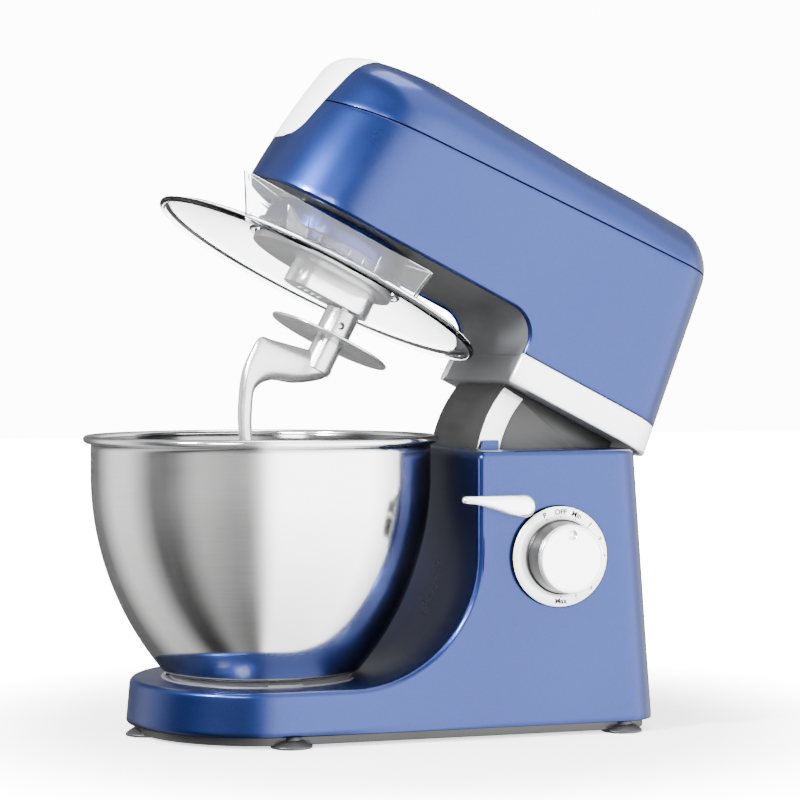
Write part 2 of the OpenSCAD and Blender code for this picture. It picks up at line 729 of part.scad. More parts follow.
// Blue collar that hangs from the arch and holds the ring gear and the splash guard
module gear_collar() color([0.25, 0.36, 0.62]) on_head() difference() {
    union() {
        rod(collar_r, collar_bottom, under_z);
        for (a = [0:120:240]) rotate(a + 60) intersection() {
            ring(collar_r - 1, collar_r + 1.9, collar_bottom + 3, collar_bottom + 6);
            linear_extrude(under_z) polygon([[0, 0], [100, -30], [100, 30]]);
        }
    }
    rod(ring_outer, collar_bottom - 1, ring_z + ring_t);
    rod(bearing_r + 5, collar_bottom - 1, under_z + 1);
    for (a = collar_screw_a) rotate(a) translate([collar_screw_r, 0, 0]) {
        rod(screw_r + screw_fit, collar_bottom, under_z + 1);
        rod(screw_r * 1.9 + screw_fit, collar_bottom, ring_z + ring_t + 2.2 + gap);
    }
}

module ring_gear() color([0.55, 0.55, 0.57]) on_head() difference() {
    rod(ring_outer, ring_z, ring_z + ring_t);
    pr = ring_module * ring_teeth / 2;
    translate([0, 0, ring_z - 1]) linear_extrude(ring_t + 2)
        polygon(gear_points(ring_module, ring_teeth, pr + 1.15 * ring_module,
            pr - 0.8 * ring_module, 0));
}

module bearing(r0, r1, z0, z1) {
    ring(r0 + run, r0 + (r1 - r0) * 0.35, z0, z1);
    ring(r0 + (r1 - r0) * 0.65, r1, z0, z1);
    ring(r0 + (r1 - r0) * 0.35, r0 + (r1 - r0) * 0.65, z0 + 1, z1 - 1);
}

module main_bearings() color([0.7, 0.7, 0.72]) on_head() {
    bearing(main_r, bearing_r, frame_z - 2, frame_z + 8);
    bearing(main_r, bearing_r - 2, bridge_z - 3, bridge_z + 4);
}

module collar_screws() color([0.7, 0.7, 0.72]) on_head()
    for (a = collar_screw_a) rotate(a) translate([collar_screw_r, 0, ring_z + ring_t + 2.2 + gap])
        screw(frame_top - ring_z - ring_t - 4);

module bridge_screws() color([0.7, 0.7, 0.72]) on_head()
    for (p = post_at) translate([p.x, p.y, bridge_z + bridge_t]) mirror([0, 0, 1]) screw(16);

// ---- motor ----

module at_motor() translate([0, motor_y, 0]) children();

module motor_stator() color([0.35, 0.36, 0.38]) on_head() at_motor() difference() {
    rod(motor_r, stator_z, stator_z + stator_h);
    rod(rotor_r + 2, stator_z - 1, stator_z + stator_h + 1);
    for (a = [0:90:270]) rotate(a + 45) translate([motor_r - 5, 0, 0])
        rod(screw_r + 0.5, stator_z - 1, stator_z + stator_h + 1);
}

// Lower cradle and upper bell that hold the stator and the shaft's bearings
module motor_brackets() color([0.62, 0.63, 0.65]) on_head() at_motor() {
    difference() {
        rod(motor_r, frame_top, stator_z);
        rod(motor_r - 4, frame_top + bell_h, stator_z + 1);
        rod(small_bearing_r, frame_top - 1, stator_z);
        for (a = [0:45:315]) rotate(a) translate([22, -3, frame_top + bell_h + 1]) cube([30, 6, 5]);
    }
    difference() {
        rod(motor_r, stator_z + stator_h, motor_top);
        rod(motor_r - 4, stator_z + stator_h - 1, motor_top - bell_h);
        rod(small_bearing_r, motor_top - 9, motor_top + 1);
        for (s = [0, 180]) rotate(s) translate([10, -5, stator_z + stator_h + 2]) cube([40, 10, 8]);
    }
}

module motor_bearings() color([0.7, 0.7, 0.72]) on_head() at_motor() {
    bearing(motor_shaft_r, small_bearing_r, frame_z, frame_z + 7);
    bearing(motor_shaft_r, small_bearing_r, motor_top - bell_h, motor_top);
}

module brush_holders() color([0.5, 0.35, 0.15]) on_head() at_motor()
    for (s = [0, 180]) rotate(s)
        block([12.5, -4.6, stator_z + stator_h + 2.4], [motor_r + 3, 4.6, stator_z + stator_h + 9.6]);

module motor_rotor() color([0.4, 0.41, 0.43]) on_head() at_motor() {
    difference() {
        union() {
            rod(rotor_r, stator_z + 2, stator_z + stator_h - 4);
            rod(rotor_r - 6, stator_z + stator_h - 4, stator_z + stator_h - 1);
            rod(12, stator_z + stator_h - 1, stator_z + stator_h + 10);
        }
        rod(motor_shaft_r, 0, head_top);
        for (a = [0:30:330]) rotate(a) translate([rotor_r, 0, 0])
            rod(1.4, stator_z, stator_z + stator_h - 4.5);
    }
}

module motor_shaft() color([0.75, 0.75, 0.77]) on_head() at_motor()
    rod(motor_shaft_r, frame_z + 0.5, belt_z + belt_w + 3);

module cooling_fan() color([0.1, 0.1, 0.1]) on_head() at_motor() difference() {
    union() {
        rod(9, frame_top + bell_h + 1, stator_z + 1);
        rod(30, frame_top + bell_h + 1, frame_top + bell_h + 2.5);
        for (a = [0:30:330]) rotate(a) block([8, -0.7, frame_top + bell_h + 2], [30, 0.7, stator_z - 1]);
    }
    rod(motor_shaft_r, 0, head_top);
}

module pulley(r, bore) difference() {
    union() {
        rod(r, belt_z, belt_z + belt_w);
        rod(r + 2.4, belt_z - 1.5, belt_z);
        rod(r + 2.4, belt_z + belt_w, belt_z + belt_w + 1.5);
    }
    rod(bore, belt_z - 2, belt_z + belt_w + 2);
}

module motor_pulley() color([0.7, 0.7, 0.72]) on_head() at_motor() pulley(small_pulley_r, motor_shaft_r);

module belt_pulley() color([0.7, 0.7, 0.72]) on_head() translate([0, gear_y, 0])
    pulley(big_pulley_r, countershaft_r);

// Loop of two arcs and their tangents round both pulleys, set out by d
function belt_loop(d) =
    let(c = motor_y - gear_y, b = asin((big_pulley_r - small_pulley_r) / c))
    concat(arc([0, gear_y], big_pulley_r + d, 180 - b, 360 + b, 60),
        arc([0, motor_y], small_pulley_r + d, b, 180 - b, 30));

module drive_belt() color([0.05, 0.05, 0.05]) on_head()
    translate([0, 0, belt_z + gap]) linear_extrude(belt_w - 2 * gap) difference() {
        polygon(belt_loop(gap + belt_t));
        polygon(belt_loop(gap));
    }

// ---- gear train ----

module countershaft() color([0.75, 0.75, 0.77]) on_head() translate([0, gear_y, 0])
    rod(countershaft_r, frame_z + 1, belt_z + belt_w + 3);

module pinion() color([0.7, 0.65, 0.5]) on_head() translate([0, gear_y, 0]) difference() {
    translate([0, 0, gear_z]) gear(gear_module, pinion_teeth, gear_t, pinion_phase);
    rod(countershaft_r, 0, head_top);
}

module main_gear() color([0.6, 0.6, 0.62]) on_head() difference() {
    union() {
        translate([0, 0, gear_z + 1]) gear(gear_module, gear_teeth, gear_t - 2, 0);
        rod(10, gear_z - 1, gear_z + gear_t + 2);
    }
    rod(main_r, 0, head_top);
    for (a = [0:60:300]) rotate(a) translate([18, 0, 0]) rod(5, gear_z, gear_z + gear_t);
}

module main_shaft() color([0.75, 0.75, 0.77]) on_head()
    rod(main_r, disc_top - disc_t, bridge_z + bridge_t + 2);

module carrier_disc() color([0.62, 0.62, 0.63]) on_head() difference() {
    union() {
        rod(disc_r, disc_top - disc_t, disc_top);
        rod(main_r + 5, disc_top - 1, ring_z + ring_t + 4);
        translate([0, offset_e, 0]) rod(output_r + 3.5, disc_top - 1, ring_z - 1);
    }
    rod(main_r, 0, head_top);
    translate([0, offset_e, 0]) rod(output_r + run, 0, head_top);
}

// Box with round ends that hangs from the disc and carries the tool's shaft
module carrier_box() color([0.8, 0.8, 0.81]) on_head() difference() {
    translate([0, 0, box_bottom]) linear_extrude(disc_top - disc_t - box_bottom)
        polygon(concat(arc([0, offset_e + 1], box_r, 0, 180, 24), arc([0, -5], box_r, 180, 360, 24)));
    translate([0, offset_e, 0]) rod(output_r + run, 0, head_top);
    for (i = [0:3]) translate([-5, -9 + 5 * i, box_bottom - 1]) cube([10, 2, 3]);
}

module output_shaft() color([0.78, 0.78, 0.8]) on_head() translate([0, offset_e, 0]) difference() {
    rod(output_r, hub_bottom + 14, ring_z + ring_t - gap);
    translate([-20, 0, pin_z]) rotate([0, 90, 0]) cylinder(r = pin_r, h = 40);
}

module planet_gear() color([0.7, 0.65, 0.5]) on_head() translate([0, offset_e, 0]) difference() {
    translate([0, 0, ring_z + 0.5]) gear(ring_module, planet_teeth, ring_t - 1, 0);
    rod(output_r, 0, head_top);
}

module drive_pin() color([0.75, 0.75, 0.77]) on_head() translate([-9, offset_e, pin_z])
    rotate([0, 90, 0]) cylinder(r = pin_r, h = 18);

// ---- dough hook ----

function lerp_cr(p0, p1, p2, p3, t) = 0.5 * (2 * p1 + (p2 - p0) * t
    + (2 * p0 - 5 * p1 + 4 * p2 - p3) * t * t + (3 * p1 - p0 - 3 * p2 + p3) * t * t * t);

// Smooth run through a list of stations, n steps between each two
function run_through(s, n) = [for (i = [0:len(s) - 2], k = [0:i == len(s) - 2 ? n : n - 1])
    lerp_cr(s[max(i - 1, 0)], s[i], s[i + 1], s[min(i + 2, len(s) - 1)], k / n)];

function unit(v) = v / norm(v);

module sweep(stations, sides) {
    n = len(stations);
    pts = [for (i = [0:n - 1]) let(
        p = stations[i],
        a = stations[max(i - 1, 0)],
        b = stations[min(i + 1, n - 1)],
        t = unit([b[0] - a[0], b[1] - a[1], b[2] - a[2]]),
        s = unit([1, 0, 0] - t[0] * t),
        u = cross(t, s))
        for (k = [0:sides - 1]) let(q = 360 * k / sides)
            [p[0], p[1], p[2]] + p[3] * cos(q) * s + p[4] * sin(q) * u];
    faces = concat([[for (k = [0:sides - 1]) k]],
        [for (i = [0:n - 2], k = [0:sides - 1]) let(j = (k + 1) % sides)
            [i * sides + k, (i + 1) * sides + k, (i + 1) * sides + j, i * sides + j]],
        [[for (k = [sides - 1:-1:0]) (n - 1) * sides + k]]);
    polyhedron(pts, faces);
}

module dough_hook() color([0.75, 0.75, 0.76]) on_head() translate([0, offset_e, 0]) difference() {
    union() {
        rod(hub_r, shield_z + 1.2, hub_top);
        rod(hub_r - 2, hub_bottom, shield_z + 1.2);
        sweep(run_through(hook_stations, 5), 14);
    }
    rod(output_r + run, hub_bottom + 13, hub_top + 1);
    block([-20, -pin_r - 0.2, pin_z], [20, pin_r + 0.2, hub_top + 1]);
    translate([-20, 0, pin_z]) rotate([0, 90, 0]) cylinder(r = pin_r + 0.2, h = 40);
}

module hook_shield() color([0.7, 0.7, 0.71]) on_head() translate([0, offset_e, 0]) difference() {
    ring(hub_r - 2, shield_r, shield_z, shield_z + 1.2);
    ring(shield_r - 6, shield_r - 5, shield_z - 1, shield_z + 0.4);
}

// ---- splash guard ----

// Plan of the chute, set in by t from its three walls
module guard_plan(t) polygon([[guard_in - 9, chute_front * 0.5 + t], [chute_x - t, chute_front + 1.6 * t],
    [chute_x - t, chute_rear - t], [guard_in - 9, chute_rear * 0.4 - 0.6 * t]]);

// Half section of the clear cone, from its rim up to its ring
module guard_section() polygon([[guard_r - 3.2, guard_z - 0.5], [guard_r - 1.4, guard_z - 0.5],
    [guard_r - 8, guard_z + 5], [guard_in + 1.5, guard_z + guard_rise + guard_t],
    [guard_in + 1.5, guard_z + guard_rise], [guard_r - 9, guard_z + 5 - guard_t]]);

// Everything under the middle of the cone's sheet, which trims the chute's walls
module under_cone() {
    run_out = (guard_r - 8.5 - guard_in - 1.5) / (guard_rise - 3.6);
    low = 6;
    mid_z = guard_z + guard_rise + 0.8;
    rise = guard_rise + low;
    translate([0, 0, mid_z - rise])
        cylinder(r1 = guard_in + 1.5 + rise * run_out, r2 = guard_in + 1.5, h = rise);
}

// Clear cone with a rolled rim, a ring that locks on the collar and a filling chute
module splash_guard() color([0.85, 0.9, 0.95, 0.4]) on_head() {
    ring_low = guard_z + guard_rise - 1;
    ring_top = collar_bottom + 9;
    difference() {
        union() {
            difference() {
                union() {
                    rotate_extrude($fn = 180) guard_section();
                    difference() {
                        translate([0, 0, guard_z + 1]) linear_extrude(chute_top - guard_z - 1)
                            guard_plan(0);
                        under_cone();
                    }
                }
                translate([0, 0, guard_z - 9]) linear_extrude(chute_top) guard_plan(guard_t);
            }
            rod(guard_in + 2, ring_low, ring_top);
            rotate_extrude($fn = 180) translate([guard_r - 2, guard_z]) circle(r = 2, $fn = 24);
        }
        rod(guard_in, guard_z - 5, collar_bottom + 6 + gap);
        rod(collar_r + gap, guard_z, chute_top + 1);
    }
}

base_housing();
base_plate();
suction_feet();
foot_screws();
plate_screws();
bowl_seat();
seat_screws();
hinge_bracket();
hinge_pin();
hinge_spring();
dial_ring();
speed_switch();
control_board();
cord_gland();
latch_spring();
bowl();
bowl_foot();
speed_knob();
knob_spindle();
release_lever();
lever_shaft();
latch_pawl();
head_housing();
top_cover();
underside_cover();
trim_band();
front_cap();
neck_shell();
neck_strips();
head_frame();
upper_bridge();
hinge_bushes();
gear_collar();
ring_gear();
main_bearings();
collar_screws();
bridge_screws();
motor_stator();
motor_brackets();
motor_bearings();
brush_holders();
drive_belt();
motor_rotor();
motor_shaft();
cooling_fan();
motor_pulley();
countershaft();
pinion();
belt_pulley();
main_shaft();
main_gear();
carrier_disc();
carrier_box();
output_shaft();
planet_gear();
drive_pin();
dough_hook();
hook_shield();
splash_guard();
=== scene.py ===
import bmesh
import bpy
import json
import math
from mathutils import Matrix, Vector


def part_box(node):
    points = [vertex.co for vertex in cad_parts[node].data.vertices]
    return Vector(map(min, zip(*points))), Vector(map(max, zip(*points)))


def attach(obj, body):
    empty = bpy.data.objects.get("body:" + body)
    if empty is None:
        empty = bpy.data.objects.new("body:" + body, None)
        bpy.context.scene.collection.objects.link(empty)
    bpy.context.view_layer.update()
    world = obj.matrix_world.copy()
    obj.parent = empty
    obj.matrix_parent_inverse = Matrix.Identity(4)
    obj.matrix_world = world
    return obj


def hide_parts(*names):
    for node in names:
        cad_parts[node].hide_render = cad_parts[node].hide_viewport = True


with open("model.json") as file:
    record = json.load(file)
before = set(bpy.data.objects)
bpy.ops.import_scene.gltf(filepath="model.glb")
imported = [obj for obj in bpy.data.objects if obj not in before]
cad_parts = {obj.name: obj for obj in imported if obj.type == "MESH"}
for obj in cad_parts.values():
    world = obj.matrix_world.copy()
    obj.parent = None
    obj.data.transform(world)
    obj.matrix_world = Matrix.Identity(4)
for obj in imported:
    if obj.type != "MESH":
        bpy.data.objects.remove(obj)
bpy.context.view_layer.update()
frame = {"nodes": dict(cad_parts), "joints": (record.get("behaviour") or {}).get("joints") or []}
print("stage: frame loaded")

# Places, all worked out from the frame
mm = 0.001
joints = {j["name"]: j for j in frame["joints"]}
hinge = Vector(joints["head_tilt"]["pos_m"])
tilt = math.radians(joints["head_tilt"]["range_deg"][1])
bowlLow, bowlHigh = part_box("bowl")
bowlY = (bowlLow.y + bowlHigh.y) / 2

# Pieces are drawn in millimetres from the bowl's axis; the head is drawn closed, then tipped back
onBase = Matrix.Translation((0, bowlY, 0)) @ Matrix.Diagonal((mm, mm, mm, 1))
tipBack = Matrix.Translation(hinge) @ Matrix.Rotation(-tilt, 4, "X") @ Matrix.Translation(-hinge)
onHead = tipBack @ onBase
toolY = (tipBack.inverted() @ Vector(joints["output_spin"]["pos_m"])).y
toolY = (toolY - bowlY) / mm
knobAt = Vector(joints["knob_turn"]["pos_m"])
knobY, knobZ = (knobAt.y - bowlY) / mm, knobAt.z / mm
leverAt = Vector(joints["lever_turn"]["pos_m"])
leverY, leverZ = (leverAt.y - bowlY) / mm, leverAt.z / mm
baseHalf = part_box("base_housing")[1].x / mm


def smoothStep(t):
    t = max(0.0, min(1.0, t))
    return t * t * (3 - 2 * t)


def lerp(a, b, t):
    return a + (b - a) * t


# Shader groups and the helpers that build them
def newGroup(name, inputs, outputs):
    group = bpy.data.node_groups.new(name, "ShaderNodeTree")
    for label, kind, value in inputs:
        socket = group.interface.new_socket(name=label, in_out="INPUT", socket_type=kind)
        socket.default_value = value
    for label, kind in outputs:
        group.interface.new_socket(name=label, in_out="OUTPUT", socket_type=kind)
    return group, group.nodes.new("NodeGroupInput"), group.nodes.new("NodeGroupOutput")


def addNode(tree, kind, links=(), **settings):
    node = tree.nodes.new(kind)
    for key, value in settings.items():
        setattr(node, key, value)
    for socket, source in links:
        if isinstance(source, bpy.types.NodeSocket):
            tree.links.new(source, node.inputs[socket])
        else:
            node.inputs[socket].default_value = source
    return node


def makeFlakeGroup():
    # Fine bright specks that lie at slightly different angles under the lacquer
    group, start, end = newGroup(
        "metalFlake",
        [("Dark", "NodeSocketColor", (0, 0, 0, 1)), ("Light", "NodeSocketColor", (1, 1, 1, 1)),
         ("Scale", "NodeSocketFloat", 2600.0), ("Cloud Scale", "NodeSocketFloat", 9.0)],
        [("Color", "NodeSocketColor"), ("Height", "NodeSocketFloat")])
    place = addNode(group, "ShaderNodeTexCoord")
    cells = addNode(group, "ShaderNodeTexVoronoi",
                    [("Vector", place.outputs["Object"]), ("Scale", start.outputs["Scale"])])
    cloud = addNode(group, "ShaderNodeTexNoise",
                    [("Vector", place.outputs["Object"]), ("Scale", start.outputs["Cloud Scale"]),
                     ("Detail", 3.0)])
    split = addNode(group, "ShaderNodeSeparateColor", [("Color", cells.outputs["Color"])])
    both = addNode(group, "ShaderNodeMath",
                   [(0, split.outputs["Red"]), (1, 0.7), (2, cloud.outputs["Fac"])],
                   operation="MULTIPLY_ADD")
    share = addNode(group, "ShaderNodeMapRange",
                    [("Value", both.outputs[0]), ("From Min", 0.3), ("From Max", 1.3)])
    mix = addNode(group, "ShaderNodeMix",
                  [("Factor", share.outputs[0]), ("A", start.outputs["Dark"]),
                   ("B", start.outputs["Light"])], data_type="RGBA")
    group.links.new(mix.outputs["Result"], end.inputs["Color"])
    group.links.new(split.outputs["Green"], end.inputs["Height"])
    return group


def makeGrainGroup():
    # Fine moulded or cast grain with a softer unevenness under it
    group, start, end = newGroup(
        "fineGrain",
        [("Scale", "NodeSocketFloat", 900.0), ("Broad Scale", "NodeSocketFloat", 18.0),
         ("Low", "NodeSocketFloat", 0.3), ("High", "NodeSocketFloat", 0.5)],
        [("Height", "NodeSocketFloat"), ("Value", "NodeSocketFloat")])
    place = addNode(group, "ShaderNodeTexCoord")
    fine = addNode(group, "ShaderNodeTexNoise",
                   [("Vector", place.outputs["Object"]), ("Scale", start.outputs["Scale"]),
                    ("Detail", 2.0)])
    broad = addNode(group, "ShaderNodeTexNoise",
                    [("Vector", place.outputs["Object"]), ("Scale", start.outputs["Broad Scale"]),
                     ("Detail", 4.0)])
    value = addNode(group, "ShaderNodeMapRange",
                    [("Value", broad.outputs["Fac"]), ("From Min", 0.3), ("From Max", 0.7),
                     ("To Min", start.outputs["Low"]), ("To Max", start.outputs["High"])])
    group.links.new(fine.outputs["Fac"], end.inputs["Height"])
    group.links.new(value.outputs[0], end.inputs["Value"])
    return group


def makeTurnedGroup():
    # Fine turned or drawn lines, stretched along the surface, and a soft cloud over them
    group, start, end = newGroup(
        "turnedLines",
        [("Stretch", "NodeSocketVector", (30.0, 30.0, 2200.0)), ("Low", "NodeSocketFloat", 0.1),
         ("High", "NodeSocketFloat", 0.2)],
        [("Height", "NodeSocketFloat"), ("Value", "NodeSocketFloat")])
    place = addNode(group, "ShaderNodeTexCoord")
    scaled = addNode(group, "ShaderNodeVectorMath",
                     [(0, place.outputs["Object"]), (1, start.outputs["Stretch"])],
                     operation="MULTIPLY")
    lines = addNode(group, "ShaderNodeTexNoise",
                    [("Vector", scaled.outputs[0]), ("Scale", 1.0), ("Detail", 3.0)])
    cloud = addNode(group, "ShaderNodeTexNoise",
                    [("Vector", place.outputs["Object"]), ("Scale", 22.0), ("Detail", 3.0)])
    both = addNode(group, "ShaderNodeMath",
                   [(0, lines.outputs["Fac"]), (1, 0.6), (2, cloud.outputs["Fac"])],
                   operation="MULTIPLY_ADD")
    value = addNode(group, "ShaderNodeMapRange",
                    [("Value", both.outputs[0]), ("From Min", 0.55), ("From Max", 1.05),
                     ("To Min", start.outputs["Low"]), ("To Max", start.outputs["High"])])
    group.links.new(lines.outputs["Fac"], end.inputs["Height"])
    group.links.new(value.outputs[0], end.inputs["Value"])
    return group


groups = {"flake": makeFlakeGroup(), "grain": makeGrainGroup(), "turned": makeTurnedGroup()}


def startMaterial(name, **fixed):
    material = bpy.data.materials.new(name)
    material.use_nodes = True
    tree = material.node_tree
    shader = tree.nodes["Principled BSDF"]
    for key, value in fixed.items():
        label = {"coat": "Coat Weight", "coatRoughness": "Coat Roughness", "ior": "IOR",
                 "metallic": "Metallic", "roughness": "Roughness", "color": "Base Color",
                 "transmission": "Transmission Weight", "specular": "Specular IOR Level"}[key]
        shader.inputs[label].default_value = value
    return material, tree, shader


def addBump(tree, shader, height, strength, distance):
    bump = addNode(tree, "ShaderNodeBump",
                   [("Strength", strength), ("Distance", distance), ("Height", height)])
    tree.links.new(bump.outputs["Normal"], shader.inputs["Normal"])


def flakePaint(name, look):
    material, tree, shader = startMaterial(
        name, metallic=look["metallic"], coat=look["coat"], coatRoughness=look["coatRoughness"])
    flake = addNode(tree, "ShaderNodeGroup", node_tree=groups["flake"])
    flake.inputs["Dark"].default_value = (*look["dark"], 1)
    flake.inputs["Light"].default_value = (*look["light"], 1)
    flake.inputs["Scale"].default_value = look["flakeScale"]
    grain = addNode(tree, "ShaderNodeGroup", node_tree=groups["grain"])
    grain.inputs["Low"].default_value = look["roughness"][0]
    grain.inputs["High"].default_value = look["roughness"][1]
    tree.links.new(flake.outputs["Color"], shader.inputs["Base Color"])
    tree.links.new(grain.outputs["Value"], shader.inputs["Roughness"])
    addBump(tree, shader, flake.outputs["Height"], look["bump"], 0.00002)
    return material


def grainPlastic(name, look):
    material, tree, shader = startMaterial(
        name, metallic=look.get("metallic", 0.0), coat=look.get("coat", 0.0),
        coatRoughness=look.get("coatRoughness", 0.1), specular=look.get("specular", 0.5))
    grain = addNode(tree, "ShaderNodeGroup", node_tree=groups["grain"])
    grain.inputs["Scale"].default_value = look.get("scale", 900.0)
    grain.inputs["Low"].default_value = look["roughness"][0]
    grain.inputs["High"].default_value = look["roughness"][1]
    tone = addNode(tree, "ShaderNodeMix",
                   [("Factor", grain.outputs["Height"]), ("A", (*look["dark"], 1)),
                    ("B", (*look["light"], 1))], data_type="RGBA")
    tree.links.new(tone.outputs["Result"], shader.inputs["Base Color"])
    tree.links.new(grain.outputs["Value"], shader.inputs["Roughness"])
    addBump(tree, shader, grain.outputs["Height"], look["bump"], 0.00003)
    return material


def turnedMetal(name, look):
    material, tree, shader = startMaterial(name, metallic=look.get("metallic", 1.0))
    turned = addNode(tree, "ShaderNodeGroup", node_tree=groups["turned"])
    turned.inputs["Stretch"].default_value = look["stretch"]
    turned.inputs["Low"].default_value = look["roughness"][0]
    turned.inputs["High"].default_value = look["roughness"][1]
    tone = addNode(tree, "ShaderNodeMix",
                   [("Factor", turned.outputs["Height"]), ("A", (*look["dark"], 1)),
                    ("B", (*look["light"], 1))], data_type="RGBA")
    tree.links.new(tone.outputs["Result"], shader.inputs["Base Color"])
    tree.links.new(turned.outputs["Value"], shader.inputs["Roughness"])
    addBump(tree, shader, turned.outputs["Height"], look["bump"], 0.00002)
    return material


def clearPlastic(name, look):
    material, tree, shader = startMaterial(
        name, transmission=1.0, ior=look["ior"], color=(*look["tint"], 1),
        specular=look["specular"])
    grain = addNode(tree, "ShaderNodeGroup", node_tree=groups["grain"])
    grain.inputs["Low"].default_value = look["roughness"][0]
    grain.inputs["High"].default_value = look["roughness"][1]
    tree.links.new(grain.outputs["Value"], shader.inputs["Roughness"])
    return material


paintLook = {"dark": (0.0068, 0.0157, 0.081), "light": (0.0112, 0.0247, 0.116),
             "metallic": 0.97, "roughness": (0.27, 0.33), "coat": 0.38, "coatRoughness": 0.12,
             "flakeScale": 2600.0, "bump": 0.12}
greyLook = {"dark": (0.066, 0.066, 0.071), "light": (0.078, 0.078, 0.084),
            "roughness": (0.3, 0.38), "bump": 0.05}
discLook = {"dark": (0.50, 0.50, 0.51), "light": (0.58, 0.58, 0.59), "metallic": 0.7,
            "roughness": (0.36, 0.44), "bump": 0.05}
chromeLook = {"dark": (0.86, 0.86, 0.87), "light": (0.92, 0.92, 0.93), "metallic": 0.9,
              "roughness": (0.16, 0.22), "bump": 0.02}
inkLook = {"dark": (0.002, 0.002, 0.002), "light": (0.003, 0.003, 0.003),
           "roughness": (0.9, 1.0), "specular": 0.02, "bump": 0.0}
neckLook = {"dark": (0.005, 0.005, 0.005), "light": (0.007, 0.007, 0.007),
            "roughness": (0.34, 0.44), "bump": 0.1}
silverLook = {"dark": (0.84, 0.84, 0.85), "light": (0.9, 0.9, 0.91), "metallic": 0.25,
              "roughness": (0.22, 0.3), "coat": 0.5, "bump": 0.03}
blackLook = {"dark": (0.006, 0.006, 0.007), "light": (0.012, 0.012, 0.013),
             "roughness": (0.3, 0.5), "bump": 0.1}
cardLook = {"dark": (0.02, 0.09, 0.05), "light": (0.03, 0.12, 0.06), "roughness": (0.3, 0.5),
            "bump": 0.1}
nylonLook = {"dark": (0.5, 0.45, 0.32), "light": (0.6, 0.54, 0.4), "roughness": (0.35, 0.5),
             "bump": 0.1}
steelLook = {"dark": (0.72, 0.72, 0.72), "light": (0.86, 0.86, 0.85),
             "stretch": (26.0, 26.0, 2400.0), "roughness": (0.10, 0.16), "bump": 0.05}
hookLook = {"dark": (0.50, 0.50, 0.50), "light": (0.56, 0.56, 0.56), "metallic": 0.9,
            "stretch": (700.0, 700.0, 700.0), "roughness": (0.22, 0.27), "bump": 0.02}
# Darker copy of the polished steel: painted shade and reflection for the bowl's inside
insideShadeLook = {"dark": (0.16, 0.16, 0.16), "light": (0.22, 0.22, 0.22),
              "stretch": (26.0, 26.0, 2400.0), "roughness": (0.12, 0.18), "bump": 0.05}
# Dark copy of the chrome for the knob's side: painted shade and reflection
knobShadeLook = {"dark": (0.024, 0.024, 0.024), "light": (0.036, 0.036, 0.036), "metallic": 0.9,
            "roughness": (0.28, 0.34), "bump": 0.03}
pearlLook = {"dark": (0.92, 0.92, 0.92), "light": (0.95, 0.95, 0.95), "metallic": 0.1,
             "roughness": (0.22, 0.28), "coat": 0.3, "bump": 0.02}
castLook = {"dark": (0.3, 0.3, 0.31), "light": (0.42, 0.42, 0.43), "metallic": 0.9,
            "stretch": (500.0, 500.0, 500.0), "roughness": (0.4, 0.55), "bump": 0.3}
shaftLook = {"dark": (0.5, 0.5, 0.51), "light": (0.66, 0.66, 0.66),
             "stretch": (300.0, 300.0, 1800.0), "roughness": (0.15, 0.25), "bump": 0.1}
bronzeLook = {"dark": (0.45, 0.28, 0.1), "light": (0.6, 0.4, 0.18),
              "stretch": (300.0, 300.0, 900.0), "roughness": (0.3, 0.4), "bump": 0.1}
clearLook = {"ior": 1.4, "tint": (0.99, 0.993, 0.996), "roughness": (0.0, 0.01),
             "specular": 0.22}

materials = {
    "blue": flakePaint("blueLacquer", paintLook),
    "grey": grainPlastic("greyPlastic", greyLook),
    "neck": grainPlastic("neckPlastic", neckLook),
    "disc": grainPlastic("satinDisc", discLook),
    "pearl": grainPlastic("pearlPaint", pearlLook),
    "knobShadedSide": grainPlastic("knobShadedSide", knobShadeLook),
    "inside": turnedMetal("steelInsideShaded", insideShadeLook),
    "chrome": grainPlastic("satinChrome", chromeLook),
    "ink": grainPlastic("dialInk", inkLook),
    "silver": grainPlastic("silverPaint", silverLook),
    "black": grainPlastic("blackPlastic", blackLook),
    "card": grainPlastic("circuitCard", cardLook),
    "nylon": grainPlastic("gearNylon", nylonLook),
    "steel": turnedMetal("polishedSteel", steelLook),
    "hook": turnedMetal("satinAlloy", hookLook),
    "cast": turnedMetal("castAlloy", castLook),
    "shaft": turnedMetal("groundSteel", shaftLook),
    "bronze": turnedMetal("sinteredBronze", bronzeLook),
    "clear": clearPlastic("clearPlastic", clearLook),
}
print("stage: materials made")


# Mesh helpers
def finishMesh(name, bm, place, body, material, stands=(), merge=0.004):
    bmesh.ops.remove_doubles(bm, verts=bm.verts, dist=merge)
    bmesh.ops.transform(bm, matrix=place, verts=bm.verts)
    bmesh.ops.recalc_face_normals(bm, faces=bm.faces)
    mesh = bpy.data.meshes.new(name)
    bm.to_mesh(mesh)
    bm.free()
    mesh.polygons.foreach_set("use_smooth", [True] * len(mesh.polygons))
    piece = bpy.data.objects.new(name, mesh)
    bpy.context.scene.collection.objects.link(piece)
    mesh.materials.append(materials[material])
    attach(piece, body)
    if stands:
        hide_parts(*stands)
    return piece


def addBevel(piece, width, segments=2, angle=32):
    bevel = piece.modifiers.new("edges", "BEVEL")
    bevel.width = width * mm
    bevel.segments = segments
    bevel.limit_method = "ANGLE"
    bevel.angle_limit = math.radians(angle)
    bevel.harden_normals = True
    bevel.use_clamp_overlap = True
    return bevel


def gridMesh(rows, closed=False, capEnds=False):
    # A sheet of quads through rows of points; closed joins each row's end to its start
    bm = bmesh.new()
    made = [[bm.verts.new(p) for p in row] for row in rows]
    width = len(rows[0])
    for a, b in zip(made, made[1:]):
        for i in range(width if closed else width - 1):
            j = (i + 1) % width
            bm.faces.new((a[i], a[j], b[j], b[i]))
    if capEnds:
        bm.faces.new(list(reversed(made[0])))
        bm.faces.new(made[-1])
    return bm


